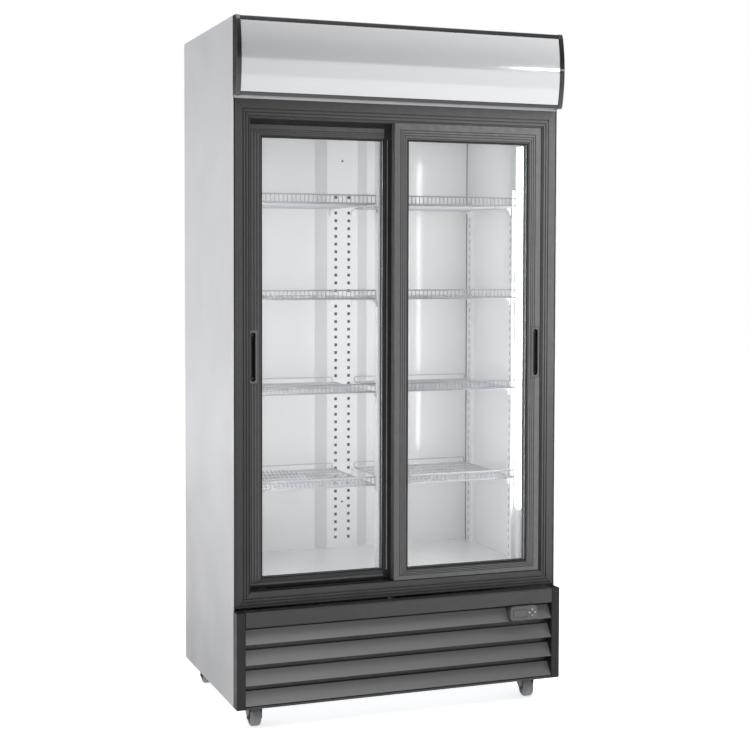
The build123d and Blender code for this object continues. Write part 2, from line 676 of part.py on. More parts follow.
def wire_shelf(top):
    """Right-hand shelf as a wire mat, a front ladder rail and a rear upstand."""
    mat_z = top - RAIL_HEIGHT
    x0, x1 = SHELF_X
    y0, y1 = SHELF_Y
    step = (x1 - x0) / (WIRES - 1)
    xs = [x0 + step * i for i in range(WIRES)]
    front, thick = FRONT_ROD
    mat = block((x0 - WIRE, x1 + WIRE), (y0 + front, y0 + front + thick), (mat_z, mat_z + thick))
    for x in xs:
        mat += block((x - WIRE / 2, x + WIRE / 2), (y0, y1), (mat_z, mat_z + 2 * WIRE))
    span = y1 - y0 - 2 * CROSS_ROD_INSET
    for i in range(CROSS_RODS):
        y = y0 + CROSS_ROD_INSET + span * i / (CROSS_RODS - 1)
        mat += block((x0 - WIRE, x1 + WIRE), (y - ROD, y + ROD), (mat_z - 2 * ROD + OVERCUT, mat_z + OVERCUT))
    rail = block(RAIL_X, (y0 - 2 * ROD, y0), (top - 2 * ROD, top))
    rail += block(RAIL_X, (y0 - 2 * ROD, y0), (mat_z - ROD, mat_z + ROD))
    for x in xs:
        rail += block((x - WIRE, x + WIRE), (y0 - ROD - WIRE, y0), (mat_z, top - ROD))
    stand = block((x0, x1), (y1, y1 + 2 * WIRE), (mat_z + UPSTAND, mat_z + UPSTAND + 2 * WIRE))
    for x in (x0 + UPSTAND_INSET, (x0 + x1) / 2, x1 - UPSTAND_INSET):
        stand += block((x - WIRE, x + WIRE), (y1, y1 + 2 * WIRE), (mat_z, mat_z + UPSTAND + WIRE))
    return [mat, rail, stand]


def gusset(start, reach, z):
    """Side view of a clip: a flat top and a slanted front below its lip."""
    drop = CLIP[1]
    toward = 1 if reach > 0 else -1
    return [(start, z), (start + reach, z), (start + reach, z - CLIP_LIP),
            (start + toward * CLIP_LIP, z - drop), (start, z - drop)]


def shelf_clips():
    """Gusset clips: four under each shelf."""
    reach, _, wide = CLIP
    clips = []
    for top in SHELF_TOPS:
        z = top - RAIL_HEIGHT - 2 * ROD + OVERCUT
        for y in UPRIGHT_Y:
            wall = gusset(CAVITY_X - UPRIGHT[1], -reach, z)
            clips.append(prism("Y", wall, y - wide / 2, y + wide / 2))
        y = UPRIGHT_Y[0]
        inner = gusset(POST[0] / 2, POST_CLIP_REACH, z)
        clips.append(prism("Y", inner, y - CLIP_WEB / 2, y + CLIP_WEB / 2))
        rear = gusset(DUCT_FACE_Y, -REAR_CLIP_REACH, z)
        clips.append(prism("X", rear, *REAR_CLIP_X))
    return clips + [mirrored(clip) for clip in clips]


def evaporator_cover():
    """False ceiling with the fan opening, its front riser and the motor bar."""
    x, (cx, cy) = CAVITY_X - COVER_SIDE_GAP, EVAP_FAN_XY
    y0, y1 = FRAME_DEPTH + COVER_SIDE_GAP, CAVITY_BACK - COVER_BACK_GAP
    sheet = block((-x, x), (y0, y1), (COVER_Z, COVER_Z + SHEET))
    sheet -= rod("Z", EVAP_FAN_HOLE, (cx, cy, COVER_Z), BASE_RAIL)
    riser = block((-x, x), (y0, y0 + SHEET), (COVER_Z + SHEET, CEILING_Z))
    reach, thick = MOTOR_BAR
    low, high = COVER_Z + MOTOR_LIFT, COVER_Z + MOTOR_LIFT + thick
    wide = (cy - MOTOR_BAR_HALF, cy + MOTOR_BAR_HALF)
    bar = block((-reach, reach), wide, (low, high))
    leg = block((-reach, -reach + thick), wide, (COVER_Z + SHEET, low))
    motor = rod("Z", MOTOR_RADIUS, (cx, cy, high + MOTOR_RADIUS / 2), MOTOR_RADIUS)
    shaft = rod("Z", SHAFT_RADIUS, (cx, cy, low - EVAP_SHAFT / 2), EVAP_SHAFT)
    return [sheet, riser, bar, leg, mirrored(leg), motor, shaft]


def finned_coil(size, centre, loops):
    """Finned block with return bends at both ends."""
    w, d, h = size
    x, y, z = centre
    high = (z - h / 2, z + h / 2)
    coil = block((x - w / 2, x + w / 2), (y - d / 2, y + d / 2), high)
    wide, deep = FIN_GROOVE
    for i in range(1, int(w / FIN_PITCH)):
        at = x - w / 2 + i * FIN_PITCH
        coil -= [block((at - wide / 2, at + wide / 2), sorted((y + side * d, y + side * (d / 2 - deep))),
                       (high[0] - deep, high[1] + deep)) for side in (-1, 1)]
    bends = []
    for i in range(loops):
        at = z - h / 2 + h * (i + 0.5) / loops
        bend = Torus(d / 4, BEND_RADIUS, major_angle=180)
        bends += [Pos(x + w / 2, y, at) * Rot(0, 0, -90) * bend,
                  Pos(x - w / 2, y, at) * Rot(0, 0, 90) * bend]
    return [coil, *bends]


def fan(centre, radius, axis):
    """Axial fan: hub, and flat blades set at an angle."""
    wheel = Cylinder(radius * FAN_HUB, FAN_DEPTH) - Cylinder(FAN_BORE, 2 * FAN_DEPTH)
    length, width, thick = BLADE
    for i in range(FAN_BLADES):
        blade = Pos(radius * BLADE_REACH, 0, 0) * Rot(BLADE_ANGLE, 0, 0)
        blade *= Box(radius * length, radius * width, thick)
        wheel += Rot(0, 0, 360 / FAN_BLADES * i) * blade
    wheel = wheel & Cylinder(radius, 3 * FAN_DEPTH)
    turn = {"Z": Rot(0, 0, 0), "Y": Rot(90, 0, 0)}[axis]
    return Pos(*centre) * turn * wheel


def condenser_shroud():
    """Shroud behind the condenser with the fan ring, motor bar and shaft."""
    w, _, h = CONDENSER
    x, y, z = CONDENSER_AT
    y0 = y + CONDENSER[1] / 2 + SHROUD_GAP
    y1 = y0 + SHROUD_DEPTH
    across, up = (x - w / 2, x + w / 2), (z - h / 2, z + h / 2)
    plate = block(across, (y1 - SHEET, y1), up) - rod("Y", COND_FAN_HOLE, (x, y1, z), BASE_RAIL)
    walls = [block((at, at + SHEET), (y0, y1 - SHEET), up) for at in (across[0], across[1] - SHEET)]
    lids = [block((across[0] + SHEET, across[1] - SHEET), (y0, y1 - SHEET), (at, at + SHEET))
            for at in (up[0], up[1] - SHEET)]
    thick = MOTOR_BAR[1]
    bar = block(across, (y1, y1 + thick), (z - SHROUD_BAR_HALF, z + SHROUD_BAR_HALF))
    motor = rod("Y", MOTOR_RADIUS, (x, y1 + thick + MOTOR_RADIUS / 2, z), MOTOR_RADIUS)
    shaft = rod("Y", SHAFT_RADIUS, (x, y1 - COND_SHAFT / 2, z), COND_SHAFT)
    return [plate, *walls, *lids, bar, motor, shaft]


def compressor():
    """Hermetic shell on three feet, with the terminal box."""
    x, y = COMPRESSOR_AT
    base = BASE_PLATE + COMPRESSOR_LIFT
    shell = rod("Z", COMPRESSOR_R, (x, y, base + COMPRESSOR_HEIGHT / 2), COMPRESSOR_HEIGHT)
    shell = fillet(shell.edges(), COMPRESSOR_DOME)
    proud, share, tall = SEAM
    shell += rod("Z", COMPRESSOR_R + proud, (x, y, base + COMPRESSOR_HEIGHT * share), tall)
    wide, thick = FOOT_ARM
    for i in range(FEET):
        angle = math.radians(90 + 360 / FEET * i)
        fx, fy = x + FOOT_SPREAD * math.cos(angle), y + FOOT_SPREAD * math.sin(angle)
        shell += rod("Z", FOOT_RADIUS, (fx, fy, base - COMPRESSOR_LIFT / 2), COMPRESSOR_LIFT)
        shell += block((min(x, fx) - wide, max(x, fx) + wide), (min(y, fy) - wide, max(y, fy) + wide),
                       (base, base + thick))
    return shell + block([x + a for a in TERMINAL_X], (y - TERMINAL_HALF, y + TERMINAL_HALF),
                         [base + a for a in TERMINAL_Z])


def screws():
    """Cap, grille and duct screws."""
    group = []
    for side in (-1, 1):
        group += [screw("X", (side * HALF, CAP_SCREW_Y, z), -side) for z in CAP_SCREW_Z]
        group += [screw("Y", (side * GRILLE_SCREW_X, -GRILLE_PROUD, z), 1) for z in GRILLE_SCREW_Z]
    return group + [screw("Y", (0, DUCT_FACE_Y, z), -1) for z in DUCT_SCREW_Z]


# ---------------------------------------------------------------- casters
def caster_top(x, y):
    """Square top plate with its bolt holes."""
    w, d, t = PLATE
    return block((x - w / 2, x + w / 2), (y - d / 2, y + d / 2), (-t, 0)) - bolt_holes(x, y)


def caster_plate(side):
    """Swivel caster's top plate with its kingpin and pin head."""
    x, y = side * FRONT_CASTER[0], FRONT_CASTER[1]
    race_z = -PLATE[2] - RACE[1]
    pin_z = race_z - GAP - FORK_HEAD[1] - GAP
    plate = caster_top(x, y) + rod("Z", RACE[0], (x, y, race_z + RACE[1] / 2), RACE[1])
    plate += rod("Z", KINGPIN, (x, y, pin_z / 2), -pin_z)
    return plate + rod("Z", PIN_HEAD[0], (x, y, pin_z - PIN_HEAD[1] / 2), PIN_HEAD[1])


def leg_outline(y, wheel_y, top):
    """Side view of a fork leg from the head down to the axle."""
    low = -CASTER_HEIGHT + WHEEL_RADIUS
    toward = 1 if wheel_y > y else -1
    back, front, toe = [toward * a for a in (FORK_BACK, FORK_FRONT, FORK_TOE)]
    rear, nose, below = FORK_DROP
    return [(y - back, top), (wheel_y + front, top), (wheel_y + front, top - nose),
            (wheel_y + toe, low - below), (wheel_y - toe, low - below), (y - back, top - rear)]


def fork(x, y, wheel_y, top):
    """Two legs with the axle between them and a flared web outside each."""
    low = -CASTER_HEIGHT + WHEEL_RADIUS
    inner = WHEEL_WIDTH / 2 + LEG_GAP
    outer = inner + FORK_LEG
    wide, tall, thick = FLARE
    legs = rod("X", WHEEL_AXLE, (x, wheel_y, low), 2 * (outer + AXLE_END))
    legs += block((x - outer - wide, x + outer + wide), (wheel_y - FORK_FRONT, y + FORK_BACK),
                  (top - thick, top))
    for side in (-1, 1):
        span = sorted((x + side * inner, x + side * outer))
        legs += prism("X", leg_outline(y, wheel_y, top), *span)
        flare = [(x + side * outer, top), (x + side * (outer + wide), top),
                 (x + side * (outer + wide), top - thick), (x + side * outer, top - tall)]
        legs += prism("Y", flare, wheel_y + FLARE_Y[0], wheel_y + FLARE_Y[1])
    return legs


def caster_fork(side):
    """Front fork: head that turns on the kingpin, legs and axle."""
    x, y = side * FRONT_CASTER[0], FRONT_CASTER[1]
    radius, thick = FORK_HEAD
    top = -PLATE[2] - RACE[1] - GAP
    body = fork(x, y, y - TRAIL, top)
    body += rod("Z", radius, (x, y, top - thick / 2), thick)
    room = rod("Z", PIN_HEAD[0] + GAP, (x, y, top - thick - 2 * PIN_HEAD[1]), 4 * PIN_HEAD[1])
    return body - room - rod("Z", KINGPIN + RUNNING_FIT, (x, y, top), 2 * CASTER_HEIGHT)


def rear_caster_bracket(side):
    """Rigid bracket: plate, legs and axle."""
    x, y = side * REAR_CASTER[0], REAR_CASTER[1]
    return caster_top(x, y) + fork(x, y, y + RUNNING_FIT, -PLATE[2])


def caster_wheel(x, y):
    """Wheel with a rounded tread, dished sides and a running bore."""
    centre = (x, y, -CASTER_HEIGHT + WHEEL_RADIUS)
    rim, hub, deep = WHEEL_DISH
    wheel = fillet(rod("X", WHEEL_RADIUS, centre, WHEEL_WIDTH).edges(), WHEEL_EDGE)
    for side in (-1, 1):
        at = (x + side * WHEEL_WIDTH / 2, y, centre[2])
        wheel -= rod("X", rim, at, 2 * deep) - rod("X", hub, at, 3 * deep)
    return wheel - rod("X", WHEEL_AXLE + RUNNING_FIT, centre, 2 * WHEEL_WIDTH)


# ---------------------------------------------------------------- write the nodes
def main():
    os.makedirs("parts", exist_ok=True)
    side = side_panel()
    save("side_panel_left", *side)
    save("side_panel_right", *[mirrored(sheet) for sheet in side])
    save("top_panel", *top_panel())
    save("back_panel", *back_panel())
    save("base_frame", *base_frame())
    save("insulation_foam", *insulation())
    save("inner_liner", *inner_liner())

    left, right, sill, header = surround()
    save("frame_jambs", left, right)
    save("frame_sill", sill)
    save("frame_header", header)
    save_door("left", LEFT_DOOR_X, LEFT_STILES, LEFT_BOTTOM_RAIL, REAR_DOOR_Y, -HANDLE_X)
    save_door("right", RIGHT_DOOR_X, RIGHT_STILES, RIGHT_BOTTOM_RAIL, FRONT_DOOR_Y, HANDLE_X)

    cap = canopy_end_cap()
    save("canopy_end_caps", cap, mirrored(cap))
    save("canopy_front_panel", canopy_front_panel())
    save("canopy_housing", *canopy_housing())
    save("led_strips", *led_strips())

    save("grille_frame", *grille_frame())
    save("grille_louvres", *grille_louvres())
    save("controller_case", controller_case())
    for name, (x, z) in button_spots().items():
        save(f"controller_button_{name}", controller_button(x, z))

    save("rear_duct", *rear_duct())
    save("shelf_uprights", *shelf_uprights())
    for level, top in enumerate(SHELF_TOPS, start=1):
        shelf = wire_shelf(top)
        save(f"shelf_right_{level}", *shelf)
        save(f"shelf_left_{level}", *[mirrored(part) for part in shelf])
    save("shelf_clips", *shelf_clips())

    save("evaporator_cover", *evaporator_cover())
    save("evaporator_coil", *finned_coil(COIL_SIZE, EVAP_COIL_AT, EVAP_BENDS))
    save("evaporator_fan", fan((*EVAP_FAN_XY, COVER_Z + EVAP_FAN_LIFT), EVAP_FAN_R, "Z"))
    save("condenser_coil", *finned_coil(CONDENSER, CONDENSER_AT, CONDENSER_BENDS))
    save("condenser_shroud", *condenser_shroud())
    fan_y = CONDENSER_AT[1] + CONDENSER[1] / 2 + COND_FAN_BACK
    save("condenser_fan", fan((CONDENSER_AT[0], fan_y, CONDENSER_AT[2]), COND_FAN_R, "Y"))
    save("compressor", compressor())
    save("screws", *screws())

    save("caster_plates", caster_plate(-1), caster_plate(1))
    save("rear_caster_brackets", rear_caster_bracket(-1), rear_caster_bracket(1))
    for name, sign in (("left", -1), ("right", 1)):
        save(f"caster_fork_{name}", caster_fork(sign))
        save(f"caster_wheel_front_{name}",
             caster_wheel(sign * FRONT_CASTER[0], FRONT_CASTER[1] - TRAIL))
        save(f"caster_wheel_rear_{name}", caster_wheel(sign * REAR_CASTER[0], REAR_CASTER[1]))


main()
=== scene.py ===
import math

import bmesh
import bpy
from mathutils import Matrix, Vector


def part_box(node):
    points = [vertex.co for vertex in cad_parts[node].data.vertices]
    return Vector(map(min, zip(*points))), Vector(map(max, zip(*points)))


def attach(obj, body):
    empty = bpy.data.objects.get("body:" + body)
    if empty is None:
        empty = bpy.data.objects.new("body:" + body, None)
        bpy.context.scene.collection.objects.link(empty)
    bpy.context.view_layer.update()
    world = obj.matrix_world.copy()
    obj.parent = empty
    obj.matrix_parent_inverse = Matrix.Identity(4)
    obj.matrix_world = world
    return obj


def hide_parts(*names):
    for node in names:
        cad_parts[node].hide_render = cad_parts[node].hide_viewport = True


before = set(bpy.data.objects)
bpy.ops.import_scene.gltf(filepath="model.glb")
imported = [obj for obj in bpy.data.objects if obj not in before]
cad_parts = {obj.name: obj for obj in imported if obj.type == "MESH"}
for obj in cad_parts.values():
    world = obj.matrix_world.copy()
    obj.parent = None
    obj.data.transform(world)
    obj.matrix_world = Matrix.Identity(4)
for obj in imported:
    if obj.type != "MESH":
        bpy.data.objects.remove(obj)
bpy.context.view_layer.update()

MM = 0.001
CABINET = "cabinet"
SAME_POINT = 0.001      # points closer than this are one
CORE = 0.3              # radius of the flat left in the middle of a turned end


# ---------------------------------------------------------------- mesh helpers
def add_box(bm, x, y, z):
    """Box from three (low, high) pairs."""
    corners = [bm.verts.new((a, b, c)) for c in z for b in y for a in x]
    for face in ((0, 2, 3, 1), (4, 5, 7, 6), (0, 1, 5, 4), (2, 6, 7, 3), (0, 4, 6, 2), (1, 3, 7, 5)):
        bm.faces.new([corners[i] for i in face])


def add_rings(bm, rings, closed=False):
    """Skin over equal rings of points; the ends are capped unless the rings close on themselves."""
    loops = [[bm.verts.new(p) for p in ring] for ring in rings]
    count = len(loops[0])
    for a, b in zip(loops, loops[1:] + loops[:1] if closed else loops[1:]):
        for i in range(count):
            j = (i + 1) % count
            bm.faces.new((a[i], a[j], b[j], b[i]))
    if not closed:
        bm.faces.new(list(reversed(loops[0])))
        bm.faces.new(loops[-1])


def add_prism(bm, axis, outline, low, high):
    """Prism of an outline, given in the two other axes, along axis 0, 1 or 2."""
    def place(p, at):
        point = list(p)
        point.insert(axis, at)
        return point
    add_rings(bm, [[place(p, at) for p in outline] for at in (low, high)])


def add_tube(bm, path, radius, sides=8):
    """Round wire along a path, mitred where it turns."""
    points = [Vector(p) for p in path]
    runs = [(b - a).normalized() for a, b in zip(points, points[1:])]
    up = Vector((0, 0, 1)) if abs(runs[0].z) < 0.9 else Vector((0, 1, 0))
    rings = []
    for here, into, out in zip(points, runs[:1] + runs, runs + runs[-1:]):
        along = (into + out).normalized()
        stretch = 1 / max(0.4, along.dot(into))
        side = along.cross(up).normalized()
        up = side.cross(along).normalized()
        toward = (out - into).normalized()
        ring = []
        for k in range(sides):
            angle = 2 * math.pi * (k + 0.5) / sides
            offset = side * math.cos(angle) + up * math.sin(angle)
            offset += toward * offset.dot(toward) * (stretch - 1)
            ring.append(here + offset * radius)
        rings.append(ring)
    add_rings(bm, rings)


def add_lathe(bm, profile, axis, centre, sides=48, hollow=False):
    """Turned solid, or a hollow ring: (radius, place along the axis) from one end to the other."""
    first, second, third = {"X": (0, 1, 2), "Y": (1, 2, 0), "Z": (2, 0, 1)}[axis]
    if not hollow:
        profile = [(CORE, profile[0][1])] + profile + [(CORE, profile[-1][1])]
    rings = []
    for radius, at in profile:
        ring = []
        for a, b in arc((centre[second], centre[third]), radius, 0, 360 - 360 / sides, sides - 1):
            point = [centre[first] + at] * 3
            point[second], point[third] = a, b
            ring.append(point)
        rings.append(ring)
    add_rings(bm, rings, closed=hollow)


def arc(centre, radius, start, stop, steps):
    """Points on an arc in a plane, angles in degrees."""
    turn = [math.radians(start + (stop - start) * i / steps) for i in range(steps + 1)]
    return [(centre[0] + radius * math.cos(a), centre[1] + radius * math.sin(a)) for a in turn]


def round_rect(x, z, radius, steps=6):
    """Outline of a rectangle with round corners."""
    (x0, x1), (z0, z1) = x, z
    r = min(radius, (x1 - x0) / 2, (z1 - z0) / 2)
    return (arc((x1 - r, z1 - r), r, 0, 90, steps) + arc((x0 + r, z1 - r), r, 90, 180, steps)
            + arc((x0 + r, z0 + r), r, 180, 270, steps) + arc((x1 - r, z0 + r), r, 270, 360, steps))


def drop_repeats(outline):
    kept = []
    for p in outline:
        if not kept or (Vector(p) - Vector(kept[-1])).length > SAME_POINT:
            kept.append(p)
    if (Vector(kept[0]) - Vector(kept[-1])).length < SAME_POINT:
        kept.pop()
    return kept


def add_plate(bm, outline, holes, y, bevel=0):
    """Plate that faces the front, with any holes: outlines are in x and z."""
    curve = bpy.data.curves.new("outline", "CURVE")
    curve.dimensions = "2D"
    curve.fill_mode = "BOTH"
    curve.extrude = max(0.001, (y[1] - y[0]) / 2 - bevel)
    curve.bevel_depth = bevel
    curve.bevel_resolution = 2
    curve.offset = -bevel
    for points in [outline] + holes:
        points = drop_repeats(points)
        spline = curve.splines.new("POLY")
        spline.points.add(len(points) - 1)
        for target, (a, b) in zip(spline.points, points):
            target.co = (a, b, 0, 1)
        spline.use_cyclic_u = True
    holder = bpy.data.objects.new("outline", curve)
    mesh = bpy.data.meshes.new_from_object(holder)
    turn = Matrix.Translation((0, middle(y), 0)) @ Matrix.Rotation(math.pi / 2, 4, "X")
    mesh.transform(turn)
    bm.from_mesh(mesh)
    bpy.data.objects.remove(holder)
    bpy.data.curves.remove(curve)
    bpy.data.meshes.remove(mesh)


def mitred_bar(bm, outer, inner, side, profile, gap=0.12):
    """One bar of a mitred rectangle. The profile is (share from outer to inner edge, y)."""
    (x0, x1), (z0, z1) = outer
    (a0, a1), (b0, b1) = inner
    ends = {
        "left": ((x0, z0, a0, b0), (x0, z1, a0, b1), (0, gap)),
        "right": ((x1, z1, a1, b1), (x1, z0, a1, b0), (0, -gap)),
        "bottom": ((x1, z0, a1, b0), (x0, z0, a0, b0), (-gap, 0)),
        "top": ((x0, z1, a0, b1), (x1, z1, a1, b1), (gap, 0)),
    }[side]
    first, last, (dx, dz) = ends
    rings = []
    for (ox, oz, ix, iz), sign in ((first, 1), (last, -1)):
        rings.append([(ox + (ix - ox) * t + dx * sign, y, oz + (iz - oz) * t + dz * sign)
                      for t, y in profile])
    add_rings(bm, rings)


def fluted(width, face, back, band, grooves, groove, depth, step=0.0):
    """Bar section in (share, y): a plain outer band, fine grooves, then a step at the inner edge."""
    points = [(0.0, back), (0.0, face)]
    pitch = (1 - band) / grooves
    for i in range(grooves):
        at = band + pitch * (i + 0.45)
        half = groove / width / 2
        points += [(at - half, face), (at - half * 0.75, face + depth), (at + half * 0.75, face + depth),
                   (at + half, face)]
    edge = 1 - step / width
    if step:
        points += [(edge, face), (edge, face + depth * 1.3), (1.0, face + depth * 1.3)]
    else:
        points += [(1.0, face)]
    return points + [(1.0, back)]


def mirrored_mesh(bm):
    """Adds a copy mirrored about x = 0."""
    made = bmesh.ops.duplicate(bm, geom=bm.verts[:] + bm.edges[:] + bm.faces[:])
    verts = [g for g in made["geom"] if isinstance(g, bmesh.types.BMVert)]
    faces = [g for g in made["geom"] if isinstance(g, bmesh.types.BMFace)]
    for v in verts:
        v.co.x = -v.co.x
    bmesh.ops.reverse_faces(bm, faces=faces)


def piece(name, bm, material, body=CABINET, nodes=(), bevel=0.5, segments=2, angle=32):
    """Turns a bmesh into a named piece that rides a body and stands for its CAD nodes."""
    bmesh.ops.recalc_face_normals(bm, faces=bm.faces[:])
    bmesh.ops.scale(bm, vec=(MM, MM, MM), verts=bm.verts[:])
    mesh = bpy.data.meshes.new(name)
    bm.to_mesh(mesh)
    bm.free()
    mesh.shade_smooth()
    obj = bpy.data.objects.new(name, mesh)
    bpy.context.scene.collection.objects.link(obj)
    mesh.materials.append(material)
    if bevel:
        edge = obj.modifiers.new("edge radius", "BEVEL")
        edge.width = bevel * MM
        edge.segments = segments
        edge.limit_method = "ANGLE"
        edge.angle_limit = math.radians(angle)
        edge.use_clamp_overlap = True
        even = obj.modifiers.new("even shading", "WEIGHTED_NORMAL")
        even.keep_sharp = True
        even.weight = 100
    else:
        mesh.set_sharp_from_angle(angle=math.radians(40))
    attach(obj, body)
    if nodes:
        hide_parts(*nodes)
    return obj


def cut_away(stock, knife):
    """Cuts one closed bmesh out of another."""
    pair = []
    for name, part in (("stock", stock), ("knife", knife)):
        bmesh.ops.recalc_face_normals(part, faces=part.faces[:])
        mesh = bpy.data.meshes.new(name)
        part.to_mesh(mesh)
        pair.append(bpy.data.objects.new(name, mesh))
        bpy.context.scene.collection.objects.link(pair[-1])
    cut = pair[0].modifiers.new("cut", "BOOLEAN")
    cut.object = pair[1]
    cut.solver = "EXACT"
    bpy.context.view_layer.update()
    result = pair[0].evaluated_get(bpy.context.evaluated_depsgraph_get())
    stock.clear()
    stock.from_mesh(result.data)
    knife.free()
    for obj in pair:
        bpy.data.meshes.remove(obj.data)


def middle(pair):
    return (pair[0] + pair[1]) / 2


def grow(pair, by):
    """Range widened by a distance at both ends, or narrowed where it is negative."""
    return pair[0] - by, pair[1] + by


def around(at, half):
    return at - half, at + half


def spans(node):
    """A node's (low, high) pairs in x, y and z, in millimetres."""
    return [(a / MM, b / MM) for a, b in zip(*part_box(node))]


def centre_of(node):
    return tuple(middle(pair) for pair in spans(node))


# ---------------------------------------------------------------- materials
def feed(tree, socket, value):
    """Gives a node input a constant, or links another node's output to it."""
    if isinstance(value, bpy.types.NodeSocket):
        tree.links.new(value, socket)
    else:
        socket.default_value = value


def add_node(tree, kind, inputs=(), **settings):
    """New shader node with its settings made and its inputs fed."""
    node = tree.nodes.new("ShaderNode" + kind)
    for key, value in settings.items():
        setattr(node, key, value)
    for name, value in dict(inputs).items():
        feed(tree, node.inputs[name], value)
    return node


class Finish:
    """A procedural material: a Principled surface with mottling, grain and worn edges."""

    def __init__(self, name, color, roughness, metallic=0.0, specular=0.5):
        self.material = bpy.data.materials.new(name)
        self.material.use_nodes = True
        self.surface = self.material.node_tree.nodes["Principled BSDF"]
        self.color = (*color, 1.0)
        self.set("Base Color", self.color).set("Roughness", roughness)
        self.set("Metallic", metallic).set("Specular IOR Level", specular)
        self.place = self.node("TexCoord").outputs["Object"]
        self.tint = self.normal = None

    def node(self, kind, inputs=(), **settings):
        return add_node(self.material.node_tree, kind, inputs, **settings)

    def set(self, socket, value):
        feed(self.material.node_tree, self.surface.inputs[socket], value)
        return self

    def noise(self, scale, detail=4.0, stretch=None):
        source = self.place
        if stretch:
            source = self.node("Mapping", {"Vector": source, "Scale": stretch}).outputs["Vector"]
        return self.node("TexNoise", {"Vector": source, "Scale": scale, "Detail": detail}).outputs["Fac"]

    def spread(self, value, low, high, start=0.3, stop=0.7):
        """Maps start to stop onto low to high."""
        inputs = {"Value": value, "From Min": start, "From Max": stop, "To Min": low, "To Max": high}
        return self.node("MapRange", inputs).outputs["Result"]

    def blend(self, share, color, blend_type="MIX"):
        base = self.color if self.tint is None else self.tint
        inputs = {"Factor": share, "A": base, "B": (*color, 1.0)}
        self.tint = self.node("Mix", inputs, data_type="RGBA", blend_type=blend_type).outputs["Result"]
        return self.set("Base Color", self.tint)

    def mottle(self, scale, amount, tone=0.8):
        """Blends the colour towards a darker tone of itself by a noise."""
        share = self.spread(self.noise(scale), 0.0, amount)
        return self.blend(share, [c * tone for c in self.color[:3]])

    def patchy(self, scale, low, high, stretch=None):
        """Varies the roughness by a noise."""
        return self.set("Roughness", self.spread(self.noise(scale, stretch=stretch), low, high))

    def grain(self, scale, strength, distance=0.0002, stretch=None, detail=3.0):
        """Adds a bump from a noise."""
        inputs = {"Strength": strength, "Distance": distance, "Height": self.noise(scale, detail, stretch)}
        if self.normal is not None:
            inputs["Normal"] = self.normal
        self.normal = self.node("Bump", inputs).outputs["Normal"]
        return self.set("Normal", self.normal)

    def edges(self, color, amount):
        """Lightens rubbed edges, where the surface turns sharply."""
        edge = self.spread(self.node("NewGeometry").outputs["Pointiness"], 0.0, 1.0, 0.51, 0.60)
        rub = self.spread(self.noise(60.0), 0.0, amount, 0.35, 0.65)
        both = self.node("Math", {0: edge, 1: rub}, operation="MULTIPLY")
        return self.blend(both.outputs["Value"], color)

    def shade_along(self, axis, start, stop, tone):
        """Paints shade: darkens the colour towards one end of an axis."""
        split = self.node("SeparateXYZ", {"Vector": self.place})
        share = self.spread(split.outputs[axis], 0.0, 1.0, start, stop)
        return self.blend(share, (tone, tone, tone), "MULTIPLY")

    def coat(self, weight, roughness, ior=1.5):
        return self.set("Coat Weight", weight).set("Coat Roughness", roughness).set("Coat IOR", ior)

    def glow(self, strength):
        return self.set("Emission Color", (1.0, 1.0, 1.0, 1.0)).set("Emission Strength", strength)


def moulded(name, tone, roughness=0.42, grain=0.25, specular=0.5, painted_shades=()):
    """Dark moulded or extruded plastic with a fine leathery grain, darker along some axes as painted shade."""
    color = (tone, tone, tone * 1.02)
    finish = Finish(name, color, roughness, specular=specular)
    finish.mottle(3.0, 0.5, 0.93).patchy(18.0, roughness - 0.05, roughness + 0.06)
    finish.grain(1400.0, grain, 0.00006).edges([c * 2.0 for c in color], 0.3)
    # Painted shade: each entry darkens the colour towards one end of an axis.
    for painted_shade in painted_shades:
        finish.shade_along(*painted_shade)
    return finish.material


def make_louvre_plastic():
    """Even grey blade plastic with a faint painted glow that evens out its shading, and painted shade deeper
    toward the right.
    """
    finish = Finish("louvre plastic and painted light", (0.105, 0.105, 0.107), 0.5, specular=0.4)
    finish.mottle(3.0, 0.5, 0.985).grain(1400.0, 0.08, 0.00006).shade_along("X", -0.3, 0.5, 0.55)
    # Painted light: the blades glow faintly though they are no lamp.
    return finish.glow(0.045).material


def painted(name, tone, roughness=0.3, peel=0.12):
    """Baked paint on sheet: faint orange peel and smears."""
    finish = Finish(name, tone, roughness)
    finish.mottle(2.2, 0.5, 0.965).patchy(6.0, roughness - 0.05, roughness + 0.07)
    finish.grain(260.0, peel, 0.00010).grain(1900.0, peel * 0.6, 0.00003)
    return finish


def make_glass():
    """Clear pane, nearly unseen face on and more mirror-like at a slant, with faint smears."""
    finish = Finish("door glass", (0.93, 0.97, 0.96), 0.03)
    slant = finish.node("LayerWeight", {"Blend": 0.35}).outputs["Fresnel"]
    finish.set("Alpha", finish.spread(slant, 0.035, 0.65, 0.04, 1.0))
    finish.patchy(9.0, 0.015, 0.06, (1.0, 1.0, 0.35))
    finish.material.use_transparent_shadow = True
    return finish.material


def make_canopy_white():
    finish = Finish("canopy acrylic and painted shade", (0.56, 0.565, 0.575), 0.13, metallic=0.38)
    finish.mottle(1.6, 0.6, 0.95).patchy(9.0, 0.09, 0.14)
    # Painted shade: the panel darkens towards its left end.
    finish.grain(3.0, 0.05, 0.002).coat(1.0, 0.02, 1.8).shade_along("X", 0.5, -0.5, 0.86)
    return finish.material


def make_duct_paint_and_shade():
    """Liner paint with painted shade: greyer on the duct's slanted sides, picked by the way the surface faces.
    """
    finish = painted("duct paint and painted shade", (0.80, 0.805, 0.815), 0.2, 0.05)
    split = finish.node("SeparateXYZ", {"Vector": finish.node("NewGeometry").outputs["Normal"]})
    size = finish.node("Math", {0: split.outputs["X"]}, operation="ABSOLUTE")
    finish.blend(finish.spread(size.outputs["Value"], 0.0, 1.0, 0.15, 0.3), (0.62, 0.63, 0.65))
    return finish.material


